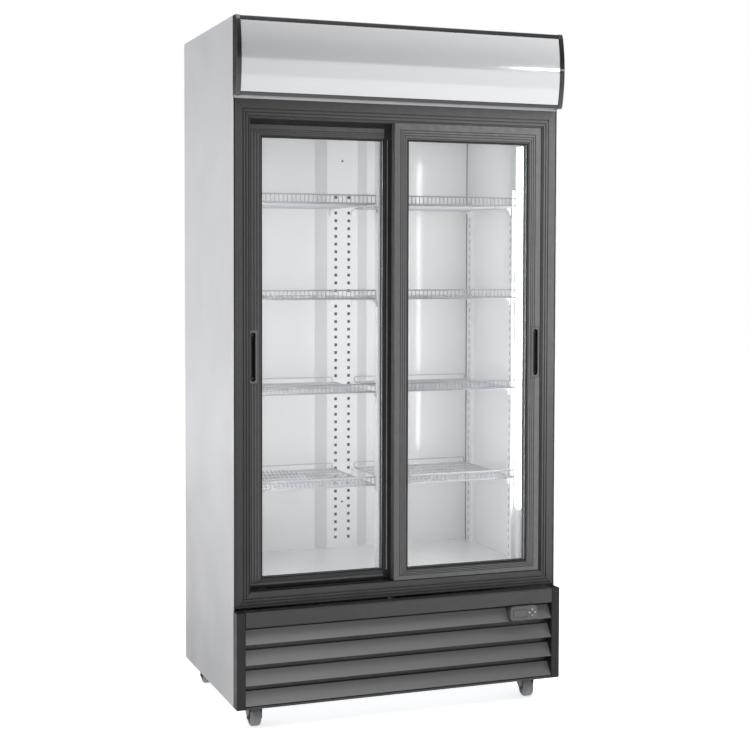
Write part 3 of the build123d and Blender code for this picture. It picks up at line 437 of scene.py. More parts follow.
def make_zinc():
    """Galvanised sheet with spangles."""
    finish = Finish("galvanised sheet", (0.56, 0.58, 0.60), 0.38, metallic=0.85)
    cells = finish.node("TexVoronoi", {"Vector": finish.place, "Scale": 75.0})
    grey = finish.node("RGBToBW", {"Color": cells.outputs["Color"]}).outputs["Val"]
    finish.blend(finish.spread(grey, 0.0, 0.7, 0.1, 0.9), (0.42, 0.44, 0.47))
    finish.set("Roughness", finish.spread(grey, 0.28, 0.5, 0.1, 0.9))
    return finish.grain(600.0, 0.08, 0.0001).material


def make_foam():
    finish = Finish("poured foam", (0.80, 0.70, 0.42), 0.9)
    finish.mottle(30.0, 0.8, 0.8).grain(500.0, 0.6, 0.001, detail=6.0)
    return finish.material


def make_aluminium(name, tone=0.62, roughness=0.32, stretch=(1.0, 1.0, 0.02)):
    finish = Finish(name, (tone, tone * 1.01, tone * 1.03), roughness, metallic=0.9)
    finish.mottle(12.0, 0.5, 0.85).patchy(900.0, roughness - 0.07, roughness + 0.12, stretch)
    finish.grain(1200.0, 0.08, 0.00005, stretch)
    return finish.material


def make_rubber(name, tone, roughness=0.65):
    finish = Finish(name, (tone, tone, tone * 1.02), roughness)
    finish.mottle(40.0, 0.8, 0.75).grain(800.0, 0.35, 0.0002).patchy(30.0, roughness - 0.1, roughness + 0.12)
    return finish.material


def make_gloss_black(name, tone, ior):
    finish = Finish(name, (tone, tone, tone * 1.1), 0.22)
    finish.mottle(20.0, 0.5, 0.7).patchy(30.0, 0.18, 0.28).grain(900.0, 0.05, 0.00005)
    finish.coat(1.0, 0.05, ior)
    return finish.material


# Painted shade: the side skins' paint darkens towards the bottom.
panel_paint_and_painted_shade = painted("side panel paint and painted shade", (0.50, 0.505, 0.53), 0.34).shade_along("Z", 0.8, 0.15, 0.48).material
liner_paint = painted("liner paint", (0.80, 0.805, 0.812), 0.2, 0.04).coat(1.0, 0.065).material
wire_coat = painted("wire coating", (0.40, 0.41, 0.44), 0.28, 0.2).material
clip_plastic = painted("clip plastic", (0.80, 0.815, 0.84), 0.35, 0.1).material
# Painted shade: the surround darkens towards the left and towards the bottom.
frame_plastic_and_painted_shade = moulded("frame plastic and painted shade", 0.096, painted_shades=(("X", 0.5, -0.5, 0.34), ("Z", 1.1, 0.35, 0.24)))
# Painted shade: a darker copy of the surround's plastic for the sill and the grille band, also darker towards
# the left.
plinth_plastic_and_painted_shade = moulded("plinth plastic and painted shade", 0.026, painted_shades=(("X", 0.5, -0.5, 0.55),))
# Painted shade: the doors' plastic darkens towards the left and towards the bottom.
door_plastic_and_painted_shade = moulded("door plastic and painted shade", 0.120, painted_shades=(("X", 0.5, -0.5, 0.40), ("Z", 0.9, 0.2, 0.7)))
louvre_plastic_and_painted_light = make_louvre_plastic()
controller_shell = moulded("controller shell", 0.075, 0.35)
# Near black plastic for the fans, the interlock ribs and the corner seams, also used as painted shade in the
# pull pockets and behind the louvres.
dark_plastic_and_painted_shade = moulded("dark plastic and painted shade", 0.012, 0.45)
handle_plastic = moulded("handle plastic", 0.095, 0.38)
post_plastic = moulded("grille post plastic", 0.008, 0.5, specular=0.3)
canopy_black = make_gloss_black("canopy trim", 0.008, 1.45)
controller_gloss = make_gloss_black("controller body", 0.012, 1.4)
canopy_white_and_painted_shade = make_canopy_white()
glass = make_glass()
zinc = make_zinc()
foam = make_foam()
coil_metal = make_aluminium("coil fins", 0.6, 0.35)
bright_metal = make_aluminium("drawn aluminium", 0.55, 0.28)
steel = make_aluminium("screw steel", 0.05, 0.4, (1.0, 1.0, 1.0))
caster_steel = moulded("caster bracket paint", 0.03, 0.38)
tread_rubber = make_rubber("wheel tread", 0.21)
# Near black rubber for the glazing gaskets and end blocks, also used for pieces that paint shade in gaps,
# slots and the rear duct.
gasket_rubber_and_painted_shade = make_rubber("gasket rubber and painted shade", 0.006, 0.7)
nylon = painted("roller nylon", (0.75, 0.75, 0.70), 0.4, 0.2).material
shell_black = moulded("compressor enamel", 0.02, 0.3, 0.1)
button_rubber = make_rubber("button rubber", 0.30, 0.5)
led_glow = Finish("led diffuser", (0.95, 0.96, 1.0), 0.4).grain(700.0, 0.1).glow(9.0).material


def dress(material, *nodes):
    """Gives CAD nodes that keep their own mesh a finished material."""
    for node in nodes:
        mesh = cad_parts[node].data
        mesh.materials.clear()
        mesh.materials.append(material)


# ---------------------------------------------------------------- places that pieces share
FACE = spans("frame_header")[1][0]              # front face of the door surround
SHEET = 1.2                                     # steel skins, liner and uprights
LINER_WALL = spans("inner_liner")[0][1] - SHEET
UPRIGHT_Y = (FACE + 169, FACE + 473)            # front and rear wall uprights
UPRIGHT_DEPTH = 14
POST_HALF = 12
SWIVEL_X, SWIVEL_Y = 428, FACE + 62             # front casters' kingpins
CANOPY_EDGE, CANOPY_CROWN = 31, 46              # how far the canopy's bow stands ahead of the face


# ---------------------------------------------------------------- cabinet shell
def side_panels():
    """Folded side skins: a round front fold with a return, and a dark rubber seal behind it that also paints
    the shade in the gap to the jamb.
    """
    hem, outer_bend, inner_bend = 2.4, 1.6, 0.4
    seal_z = spans("frame_sill")[2][0], spans("frame_header")[2][1]
    for name, sign in (("left", -1), ("right", 1)):
        x, (y0, y1), z = spans(f"side_panel_{name}")
        outer = x[0] if sign < 0 else x[1]
        inner = outer - sign * hem
        turn = -90 + sign * 90
        depth = SHEET + inner_bend
        front = arc((outer - sign * outer_bend, y0 + outer_bend), outer_bend, -90, turn, 5)
        back = arc((outer - sign * depth, y0 + depth), inner_bend, -90, turn, 3)[::-1]
        outline = [(inner, y0), *front, (outer, y1), (outer - sign * SHEET, y1), *back, (inner, y0 + SHEET)]
        bm = bmesh.new()
        add_prism(bm, 2, outline, *z)
        piece(f"side_skin_{name}", bm, panel_paint_and_painted_shade, nodes=[f"side_panel_{name}"],
              bevel=0.3)
        # Dark seal in the gap behind the fold: partly a real seal, partly painted shade.
        seal = bmesh.new()
        add_box(seal, sorted((outer - sign * 2.5, outer - sign * 6.2)), (y0 + 1, y0 + 12), seal_z)
        piece(f"side_seal_and_painted_shade_{name}", seal, gasket_rubber_and_painted_shade, bevel=0.4)


def top_deck():
    """Top sheet with a turned-down front rim and two shallow pressed panels."""
    x, y, (z0, z1) = spans("top_panel")
    columns, rows, dip, slope = 48, 24, 2.25, 12
    swages, half_x, half_y = (-240, 240), 160, 200
    bm = bmesh.new()
    add_box(bm, grow(x, -3.8), (y[0], y[0] + SHEET), (z0, z1 - SHEET))

    def point(i, j, drop):
        px = x[0] + (x[1] - x[0]) * i / columns
        py = y[0] + (y[1] - y[0]) * j / rows
        inside = max(min(half_x - abs(px - swage), half_y - abs(py - middle(y))) for swage in swages)
        return px, py, z1 - drop - dip * min(1.0, max(0.0, inside / slope))

    top, under = [[[bm.verts.new(point(i, j, drop)) for i in range(columns + 1)] for j in range(rows + 1)]
                  for drop in (0, SHEET)]
    for j in range(rows):
        for i in range(columns):
            bm.faces.new((top[j][i], top[j][i + 1], top[j + 1][i + 1], top[j + 1][i]))
            bm.faces.new((under[j][i], under[j + 1][i], under[j + 1][i + 1], under[j][i + 1]))
    rim = ([(0, i) for i in range(columns)] + [(j, columns) for j in range(rows)]
           + [(rows, i) for i in range(columns, 0, -1)] + [(j, 0) for j in range(rows, 0, -1)])
    for (a, b), (c, d) in zip(rim, rim[1:] + rim[:1]):
        bm.faces.new((top[a][b], under[a][b], under[c][d], top[c][d]))
    piece("top_deck", bm, panel_paint_and_painted_shade, nodes=["top_panel"], bevel=0.3, angle=50)


# ---------------------------------------------------------------- door surround
def surround():
    """Four mitred bars, fluted towards the doors, with the guide grooves and the sliding tracks."""
    jamb_x, (face, back), _ = spans("frame_jambs")
    sill_z = spans("frame_sill")[2]
    header_z = spans("frame_header")[2]
    width = 45
    outer = (grow(jamb_x, -1), (sill_z[0], header_z[1]))
    inner = (grow(jamb_x, -width), (sill_z[1], header_z[0]))
    front = fluted(width, face, back, 0.45, 3, 3.2, 3, 2.4)
    low = [(0.0, back), (0.0, face + 2), (0.04, face)]
    for at in (0.16, 0.36, 0.56):
        low += [(at, face), (at + 0.02, face + 2.6), (at + 0.07, face + 2.6), (at + 0.09, face)]
    low += [(0.98, face), (1.0, face + 0.8), (1.0, back)]
    lip = face + 32
    channel = 1 - 14 / width
    jamb = front[:-1] + [(1.0, lip), (channel, lip), (channel, back)]
    track, deep = 6, 8 / width
    tracks_y = (face + 16, face + 48)

    def grooved(bar, half, share):
        top = list(bar[:-1])
        for at in tracks_y:
            top += [(1.0, at - half), (1 - share, at - half), (1 - share, at + half), (1.0, at + half)]
        return top + [bar[-1]]

    for name, sides, section, node in (
            ("surround_jambs", ("left", "right"), jamb, "frame_jambs"),
            ("surround_sill", ("bottom",), grooved(low, track, deep), "frame_sill"),
            ("surround_header", ("top",), grooved(front, 4, 14 / 52), "frame_header")):
        bm = bmesh.new()
        for side in sides:
            mitred_bar(bm, outer, inner, side, section)
        finish = plinth_plastic_and_painted_shade if node == "frame_sill" else frame_plastic_and_painted_shade
        piece(name, bm, finish, nodes=[node], bevel=0.35)


# ---------------------------------------------------------------- doors
# Per door: stile widths, bottom rail height, and the heights of dark bands at the bottom and top, which are
# painted shade.
DOORS = {
    "left": {"stiles": (54, 52), "bottom": 27, "dark": (9, 15)},
    "right": {"stiles": (41, 41), "bottom": 30, "dark": (0.0, 0.0)},
}
TOP_RAIL = 47
FIN_RISE = 10


def door_opening(side):
    """The door's outer and glass rectangles in x and z."""
    x, y, z = spans(f"{side}_door_frame")
    z = (z[0], z[1] - FIN_RISE + 2)
    left, right = DOORS[side]["stiles"]
    return (x, z), ((x[0] + left, x[1] - right), (z[0] + DOORS[side]["bottom"], z[1] - TOP_RAIL)), y


def door_bars(side):
    """Mitred bars with fine lines by the glass, pocketed for the pull, and the guide fin on top."""
    outer, inner, (face, back) = door_opening(side)
    low, high = DOORS[side]["dark"]
    ends = outer[0] if side == "right" else (outer[0][0], inner[0][1])
    shown = (ends, (outer[1][0] + low, outer[1][1] - high))
    widths = {"left": inner[0][0] - outer[0][0], "right": outer[0][1] - inner[0][1],
              "bottom": inner[1][0] - shown[1][0], "top": shown[1][1] - inner[1][1]}
    bm = bmesh.new()
    for bar, width in widths.items():
        if (side, bar) != ("left", "right"):
            mitred_bar(bm, shown, inner, bar, fluted(width, face, back, 0.36, 4, 2.4, 2.6, 1.6))
    x, y, z = spans(f"{side}_door_handle")
    half = 9
    knife = bmesh.new()
    add_plate(knife, round_rect(around(middle(x), half), grow(z, -4.5), half), [], (face - 5, y[1] + 0.3))
    cut_away(bm, knife)
    piece(f"{side}_door_bars", bm, door_plastic_and_painted_shade, f"{side}_door", [f"{side}_door_frame"],
          bevel=0.3)
    track = bmesh.new()
    add_box(track, grow(outer[0], -30), around(middle((face, back)), 2.5),
            (outer[1][1] - 1, outer[1][1] + 8))
    # Dark bands at the rear door's bottom and top: painted shade under the header and over the sill.
    if low:
        for z in ((outer[1][0], shown[1][0] - 0.2), (shown[1][1] + 0.2, outer[1][1])):
            add_box(track, (outer[0][0], inner[0][1]), (face + 1.5, back), z)
    piece(f"{side}_door_guide_strip_and_shade_bands", track, gasket_rubber_and_painted_shade, f"{side}_door", bevel=0.4)


def interlock_stile():
    """The rear door's meeting stile: dark ribs, one bright aluminium lip and two end blocks."""
    outer, inner, (face, back) = door_opening("left")
    x0, x1 = inner[0][1], outer[0][1]
    low, high = outer[1][0] + DOORS["left"]["bottom"], outer[1][1] - TOP_RAIL
    ribs = bmesh.new()
    add_box(ribs, (x0, x1), (face + 5, back), (low, high))
    for at, wide, proud in ((1.0, 4.0, 4.5), (7.0, 1.6, 2.5), (12.5, 2.2, 3.6), (18.0, 3.0, 4.4)):
        add_box(ribs, (x0 + at, x0 + at + wide), (face + 5 - proud, face + 5.5), (low, high))
    piece("left_door_interlock", ribs, dark_plastic_and_painted_shade, "left_door", bevel=0.3)
    lip = bmesh.new()
    add_box(lip, (x0 + 9.6, x0 + 11), (face + 1.2, face + 6), (low, high))
    piece("left_door_interlock_lip", lip, bright_metal, "left_door", bevel=0.3)
    blocks = bmesh.new()
    for z in ((outer[1][0], low), (high, outer[1][1])):
        add_box(blocks, (x0, x1), (face + 0.2, back), z)
    piece("left_door_end_blocks", blocks, gasket_rubber_and_painted_shade, "left_door", bevel=1.2)


def gaskets_and_glass(side):
    """Rubber glazing strip, two panes and the aluminium spacer between them."""
    _, inner, (face, back) = door_opening(side)
    body = f"{side}_door"
    lap, bite, width = 3.4, 9, 9.5
    bars = ("left", "right", "bottom", "top")
    clear = (grow(inner[0], -lap), grow(inner[1], -lap))
    bm = bmesh.new()
    for front, rear in ((face + 2, face + 5.1), (back - 5.1, back - 2)):
        section = [(0.0, rear), (0.0, front), (0.35, front - 0.3), (0.8, front + 0.8), (1.0, rear)]
        if front > (face + back) / 2:
            section = [(1.0, front), (0.8, rear - 0.8), (0.35, rear + 0.3), (0.0, rear), (0.0, front)]
        for bar in bars:
            mitred_bar(bm, inner, clear, bar, section, 0.0)
    piece(f"{side}_door_gasket", bm, gasket_rubber_and_painted_shade, body, bevel=0.3)
    gx, gz = grow(inner[0], bite), grow(inner[1], bite)
    panes = bmesh.new()
    for y in ((face + 5.2, face + 9.2), (back - 9.2, back - 5.2)):
        add_plate(panes, round_rect(gx, gz, 1.5, 3), [], y, 0.4)
    piece(f"{side}_door_panes", panes, glass, body, [f"{side}_door_glass"], bevel=0, angle=30)
    spacer = bmesh.new()
    ring = (grow(gx, -width), grow(gz, -width))
    section = [(0.1, back - 9.4), (0.1, face + 9.4), (1.0, face + 9.4),
               (1.0, face + 13), (0.93, face + 14), (1.0, face + 15), (1.0, back - 9.4)]
    for bar in bars:
        mitred_bar(spacer, (gx, gz), ring, bar, section, 0.0)
    piece(f"{side}_door_spacer", spacer, bright_metal, body, bevel=0.2)


def handle(side):
    """Finger pull: thin plate, obround pocket, the lip and ramp inside it, and a dark seal around it; the
    pocket's near black and the seal paint shade.
    """
    x, y, z = spans(f"{side}_door_handle")
    body = f"{side}_door"
    sign = 1 if side == "right" else -1
    proud, half, wall, disc, corner = 1.2, 7.5, 1.2, 5.0, 3
    face, deep = y[0] + proud, y[1] - wall
    pocket, reach = around(middle(x), half), grow(z, -6)
    hole = round_rect(pocket, reach, half)
    plate = bmesh.new()
    add_plate(plate, round_rect(x, z, corner), [hole], (y[0], face + 1.0), 0.35)
    piece(f"{side}_door_pull", plate, handle_plastic, body, [f"{side}_door_handle"],
          bevel=0.2, angle=45)
    # Near black pocket: painted shade in the recess.
    well = bmesh.new()
    outer = round_rect(grow(pocket, wall), grow(reach, wall), half + wall)
    add_plate(well, outer, [hole], (face + 1.05, deep))
    add_plate(well, outer, [], (deep, y[1]))
    edge, shelf_end, foot = (middle(x) - sign * (half - step) for step in (0, 1.6, 6.0))
    ramp = [(edge, face - 0.6), (shelf_end, face - 0.6), (foot, deep - 1.5), (foot, deep), (edge, deep)]
    add_prism(well, 2, ramp, *grow(reach, -9))
    for at in grow(reach, -half):
        add_lathe(well, [(disc - 0.4, 0), (disc, 0.5), (disc, 6)], "Y", (middle(x), deep - 6, at), 24)
    piece(f"{side}_door_pull_well", well, dark_plastic_and_painted_shade, body, bevel=0.2, angle=45)
    # Dark rim round the plate: painted shadow line.
    rim = bmesh.new()
    add_plate(rim, round_rect(grow(x, 0.7), grow(z, 0.7), corner + 0.5),
              [round_rect(grow(x, -0.2), grow(z, -0.2), corner)], (face - 0.4, face + 0.8))
    piece(f"{side}_door_pull_shadow_seal", rim, gasket_rubber_and_painted_shade, body, bevel=0)


def rollers(side):
    """Nylon door rollers with a grooved tread, hub and axle pin."""
    half_width, pin, dish = 4, 2.0, 1.2
    for end in ("left", "right"):
        name = f"{side}_door_roller_{end}"
        x, y, _ = spans(name)
        r, reach = (x[1] - x[0]) / 2, (y[1] - y[0]) / 2
        half = [(pin - 0.4, reach), (pin, reach - 0.4), (pin, half_width), (4, half_width),
                (5, half_width - dish), (8.5, half_width - dish), (9.5, half_width), (r - 0.6, half_width),
                (r, half_width - 0.6), (r - 0.5, 0.8)]
        bm = bmesh.new()
        add_lathe(bm, [(a, -b) for a, b in half] + half[::-1], "Y", centre_of(name), 40)
        piece(f"{side}_door_{end}_wheel", bm, nylon, name, [name], bevel=0, angle=30)


# ---------------------------------------------------------------- canopy
def canopy_bow(z, z0, z1):
    """Distance of the bowed front ahead of the surround face, at a height."""
    half, rise = (z1 - z0) / 2, CANOPY_CROWN - CANOPY_EDGE
    radius = (half * half + rise * rise) / (2 * rise)
    off = z - (z0 + z1) / 2
    return CANOPY_EDGE + math.sqrt(max(0.0, radius * radius - off * off)) - (radius - rise)


def canopy_section(z0, z1, inset, low, high, back, steps=28, corner=0.0):
    """Side outline in y and z of the bowed canopy between two heights."""
    heights = [low + (high - low) * i / steps for i in range(steps + 1)]
    front = [(FACE - canopy_bow(z, z0, z1) + inset, z) for z in heights]
    if corner:
        bottom = arc((front[0][0] + corner, low + corner), corner, -90, -180, 6)
        top = arc((front[-1][0] + corner, high - corner), corner, 180, 90, 6)
        front = bottom + [p for p in front if low + corner < p[1] < high - corner] + top
    return front + [(back, high), (back, low)]


def canopy():
    """Bowed light box: glossy end caps, top and bottom strips, back tray and white panel."""
    x, (_, face), (z0, z1) = spans("canopy_end_caps")
    cap, inset, thick, rows = 13.5, 2.2, 3, 48
    span = grow(x, -cap - 0.3)
    caps = bmesh.new()
    add_prism(caps, 0, canopy_section(z0, z1, 0.0, z0, z1, face, corner=5), x[0], x[0] + cap)
    mirrored_mesh(caps)
    piece("canopy_caps", caps, canopy_black, nodes=["canopy_end_caps"], bevel=1.6,
          segments=3)
    strips = bmesh.new()
    panel_low, panel_high = z0 + 11, z1 - 14
    for low, high in ((z0 + 1.2, panel_low), (panel_high, z1 - 1.8)):
        add_prism(strips, 0, canopy_section(z0, z1, inset, low, high, face, 6), *span)
    add_box(strips, span, (face - 4, face), grow((z0, z1), -2))
    piece("canopy_strips", strips, canopy_black, nodes=["canopy_housing"], bevel=0.9)
    panel = bmesh.new()
    low, high = panel_low + 0.5, panel_high - 0.5
    heights = [low + (high - low) * i / rows for i in range(rows + 1)]
    outside = [(FACE - canopy_bow(z, z0, z1) + 3, z) for z in heights]
    inside = [(y + thick, z) for y, z in outside[::-1]]
    add_prism(panel, 0, outside + inside, *grow(span, -0.4))
    piece("canopy_panel", panel, canopy_white_and_painted_shade, nodes=["canopy_front_panel"],
          bevel=0.6, angle=40)


def screw_heads():
    """Domed screw heads on the caps, the grille posts and the rear duct, one to each CAD screw."""
    shells = bmesh.new()
    shells.from_mesh(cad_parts["screws"].data)
    bmesh.ops.scale(shells, vec=(1 / MM, 1 / MM, 1 / MM), verts=shells.verts[:])
    bmesh.ops.remove_doubles(shells, verts=shells.verts[:], dist=0.01)
    bm = bmesh.new()
    done = set()
    for start in shells.verts:
        group, stack = [], [start]
        while stack:
            v = stack.pop()
            if v not in done:
                done.add(v)
                group.append(v.co)
                stack += [e.other_vert(v) for e in v.link_edges]
        if not group:
            continue
        low = Vector([min(c[i] for c in group) for i in range(3)])
        high = Vector([max(c[i] for c in group) for i in range(3)])
        size, centre = high - low, (low + high) / 2
        along = min(range(3), key=lambda i: size[i])
        axis = "XYZ"[along]
        outward = -1 if axis == "Y" or centre.x < 0 else 1
        centre[along] = low[along] if outward < 0 else high[along]
        r = size[(along + 1) % 3] / 2
        dome = [(r * 0.35, 0.0), (r * 0.7, 0.3), (r * 0.95, 0.9), (r, 1.4), (r, 2.4)]
        add_lathe(bm, [(a, -outward * b) for a, b in dome], axis, centre, 24)
    shells.free()
    piece("screw_heads", bm, steel, nodes=["screws"], bevel=0, angle=35)


# ---------------------------------------------------------------- lower grille
def grille():
    """Plinth frame with a rebated band, posts and foot."""
    x, (y0, y1), (z0, z1) = spans("grille_frame")
    post, band, foot = 26, 43, 6
    posts = bmesh.new()
    outline = [(x[0], y1), (x[0], y0 + 1.5), (x[0] + 1.5, y0), (x[0] + post - 2, y0),
               (x[0] + post, y0 + 2), (x[0] + post, y1)]
    add_prism(posts, 2, outline, z0, z1)
    mirrored_mesh(posts)
    piece("grille_posts", posts, post_plastic, bevel=0.4)
    inner = grow(x, -post - 0.15)
    bm = bmesh.new()
    section = [(y1, z1), (y0 + 3, z1), (y0 + 0.4, z1 - 2), (y0, z1 - 4),
               (y0, z1 - band + 2), (y0 + 2, z1 - band), (y1, z1 - band)]
    add_prism(bm, 0, section, *inner)
    section = [(y0, z0), (y0, z0 + foot - 1.5), (y0 + 1.5, z0 + foot), (y1, z0 + foot), (y1, z0)]
    add_prism(bm, 0, section, *inner)
    piece("grille_band_and_foot", bm, plinth_plastic_and_painted_shade, nodes=["grille_frame"], bevel=0.4)


def louvres():
    """Slanted blades with a rolled lower lip and a turned-back top edge; the first is notched."""
    x, (y0, y1), (z0, z1) = spans("grille_louvres")
    case_x = spans("controller_case")[0]
    pitch, rise, thick, screen_wires = 57.5, 36, 2.5, 150
    bm = bmesh.new()
    for i in range(4):
        top = z1 - i * pitch
        low = top - rise
        section = [(y0, low), (y0 + 7, low), (y0 + 7, low + 1.2), (y0 + 3.2, low + 1.4),
                   (y1, top - 1), (y1, top), (y1 - thick, top)]
        runs = [x]
        if i == 0:
            runs = [(x[0], case_x[0] - 0.3), (case_x[1] + 0.3, x[1])]
        for run in runs:
            add_prism(bm, 0, section, *run)
    piece("louvre_blades", bm, louvre_plastic_and_painted_light, nodes=["grille_louvres"], bevel=0.4)
    # Dust screen: fine dark wires on a solid dark sheet; the sheet is painted shade for the compartment behind
    # the blades.
    screen = bmesh.new()
    step = (x[1] - x[0]) / screen_wires
    add_box(screen, grow(x, -1), (y1 + 5.6, y1 + 6.4), (z0 - 1, z1 + 6))
    for i in range(screen_wires):
        add_box(screen, around(x[0] + step * (i + 0.5), 1), (y1 + 4.2, y1 + 5.4), (z0, z1 + 5))
    piece("louvre_dust_screen_and_shade_sheet", screen, dark_plastic_and_painted_shade, bevel=0)


def controller():
    """Controller: rounded body, dark bezel, smoked display and four small keys."""
    x, (y0, y1), z = spans("controller_case")
    face = y0 + 1
    keys = {name: spans(f"controller_button_{name}") for name in ("up", "down", "set", "defrost")}
    centres = {n: (middle(s[0]), middle(s[2])) for n, s in keys.items()}
    well, radius = 3.65, 12
    wells = [arc(c, well, 0, 345, 23) for c in centres.values()]
    bm = bmesh.new()
    add_plate(bm, round_rect(x, z, radius, 8), wells, (face + 1.2, y1), 1)
    piece("controller_body", bm, controller_shell, nodes=["controller_case"],
          bevel=0, angle=35)
    bezel = bmesh.new()
    bx = (x[0], x[0] + 60)
    glass_x = (x[0] + 10, x[0] + 54)
    glass_z = around(middle(z), 11)
    add_plate(bezel, round_rect(bx, z, radius, 8), [round_rect(glass_x, glass_z, 3)],
              (face - 0.2, face + 1.4), 0.5)
    piece("controller_bezel", bezel, controller_gloss, bevel=0, angle=35)
    window = bmesh.new()
    add_plate(window, round_rect(grow(glass_x, -0.3), grow(glass_z, -0.3), 3), [], (y0, face + 1.5), 0.6)
    smoke = make_gloss_black("smoked display", 0.05, 1.2)
    piece("controller_display", window, smoke, bevel=0, angle=35)
    for name, (kx, ky, _) in keys.items():
        cap = bmesh.new()
        cx, cz = centres[name]
        r, depth = (kx[1] - kx[0]) / 2, ky[1] - ky[0]
        add_lathe(cap, [(0.4, 0.25), (r * 0.5, 0.1), (r * 0.8, 0.0), (r * 0.95, 0.3), (r, 0.8), (r, depth)],
                  "Y", (cx, ky[0], cz), 28)
        piece(f"controller_key_{name}", cap, button_rubber, f"controller_button_{name}",
              [f"controller_button_{name}"], bevel=0, angle=35)


# ---------------------------------------------------------------- interior
def led_channels():
    """Corner lamps: an aluminium channel with a bowed glowing diffuser, plus the canopy strip."""
    front = FACE + 98
    low = spans("frame_sill")[2][0] + 212
    high = low + 1113
    wall, wide, steps = LINER_WALL, 52, 12
    bow = []
    for i in range(steps + 1):
        across = i / steps
        bow.append((wall - 3 - 4.6 * math.sin(math.pi * across) ** 0.6, front + 3 + (wide - 6) * across))
    lens = bmesh.new()
    add_prism(lens, 2, bow + [(wall - 2.4, front + wide - 3), (wall - 2.4, front + 3)], low + 4, high - 4)
    mirrored_mesh(lens)
    _, (_, back), canopy_z = spans("canopy_end_caps")
    back -= 4
    lamp_x = (-440, 440)
    add_box(lens, lamp_x, (back - 9.5, back - 1.5), around(middle(canopy_z), 11))
    tray = bmesh.new()
    section = [(wall, front), (wall - 5, front), (wall - 5, front + 2.6), (wall - 2, front + 2.6),
               (wall - 2, front + wide - 2.6), (wall - 5, front + wide - 2.6),
               (wall - 5, front + wide), (wall, front + wide)]
    add_prism(tray, 2, section, low, high)
    mirrored_mesh(tray)
    add_box(tray, lamp_x, (back - 1.4, back), around(middle(canopy_z), 13))
    piece("led_lenses", lens, led_glow, nodes=["led_strips"], bevel=0, angle=50)
    piece("led_trays", tray, bright_metal, bevel=0.3)
    wiring = bmesh.new()
    floor = spans("inner_liner")[2][0]
    cover = [(wall, front + 12), (wall - 4, front + 14), (wall - 4, front + 38), (wall, front + 40)]
    add_prism(wiring, 2, cover, floor + 3, low)
    mirrored_mesh(wiring)
    piece("led_wire_covers", wiring, clip_plastic, bevel=0.6)


def shelf(side, level):
    """Wire shelf: fine wires on cross rods, a ladder rail in front and a raised rear wire."""
    node = f"shelf_{side}_{level}"
    x, y, (z0, z1) = spans(node)
    sign = 1 if side == "right" else -1
    inner, outer = (x[0], x[1]) if sign > 0 else (x[1], x[0])
    near, far = inner + sign * 2, inner + sign * 388
    front, back = y[0] + 2.5, y[1] - 1.5
    mat, top = z0 + 5.5, z1 - 2.5
    wires, rods, bend = 31, 7, 6
    fine, cross, side_wire, rear, rail = 1.35, 1.92, 1.9, 1.45, 2.4
    bm = bmesh.new()
    for i in range(wires):
        px = near + (far - near) * i / (wires - 1)
        add_tube(bm, [(px, back, mat), (px, front + 3, mat), (px, front + 0.6, mat + 2),
                      (px, front, mat + 6), (px, front, top)], fine)
    for i in range(rods):
        py = front + 22 + (back - front - 40) * i / (rods - 1)
        add_tube(bm, [(near - sign * 1.5, py, mat - 3.2), (far + sign * 1.5, py, mat - 3.2)], cross)
    for z, radius in ((top, rail), (mat - 0.5, rail * 0.9)):
        add_tube(bm, [(inner + sign * 0.2, front - 0.1, z), (outer - sign * 0.2, front - 0.1, z)], radius)
    for px in (near, far):
        add_tube(bm, [(px, front + 2, mat - 1.5), (px, back, mat - 1.5)], side_wire)
    rise = mat + 15
    loop = [(near, mat)]
    loop += arc((near + sign * bend, rise - bend), bend, 90 + sign * 90, 90, 5)
    loop += arc((far - sign * bend, rise - bend), bend, 90, 90 - sign * 90, 5)
    loop.append((far, mat))
    add_tube(bm, [(a, back, b) for a, b in loop], rear)
    piece(f"wire_shelf_{side}_{level}", bm, wire_coat, nodes=[node], bevel=0, angle=50)


def shelf_clips():
    """Curved gussets under the shelves, set against the slotted uprights."""
    reach, drop, neck = 14, 22, 4
    front = UPRIGHT_Y[0]

    def gusset(start, along, z):
        curve = [(start + along * (reach - (reach - neck) * math.sin(a)),
                  z - 3 - (drop - 3) * (1 - math.cos(a))) for a in [math.pi / 16 * i for i in range(9)]]
        return [(start, z), (start + along * reach, z), *curve, (start, z - drop)]

    bm = bmesh.new()
    for level in (1, 2, 3, 4):
        z = spans(f"shelf_right_{level}")[2][0] + 0.2
        for y in UPRIGHT_Y:
            add_prism(bm, 1, gusset(LINER_WALL - UPRIGHT_DEPTH, -1, z), *around(y, 7))
        add_prism(bm, 1, gusset(POST_HALF, 1, z), *around(front, 3))
        add_prism(bm, 0, gusset(FACE + 512, -1, z), 31, 43)
    mirrored_mesh(bm)
    piece("shelf_gussets", bm, clip_plastic, nodes=["shelf_clips"], bevel=0.7)


def duct_shade_sheet():
    """Dark sheet inside the rear duct, painted shade that shows through its slots."""
    x, (y0, _), z = spans("rear_duct")
    bm = bmesh.new()
    add_box(bm, grow(x, -42), (y0 + 2.2, y0 + 6), grow(z, -4))
    piece("rear_duct_shade_sheet", bm, gasket_rubber_and_painted_shade, bevel=0.5)


def liner_seams():
    """Dark sealant lines down the liner's two rear corners."""
    back = spans("rear_duct")[1][1]
    low, high = spans("shelf_uprights")[2]
    bm = bmesh.new()
    add_box(bm, (LINER_WALL - 2, LINER_WALL - 0.3), (back - 2, back - 0.3), (low, high + 40))
    mirrored_mesh(bm)
    piece("liner_corner_seams", bm, dark_plastic_and_painted_shade, bevel=0.3)


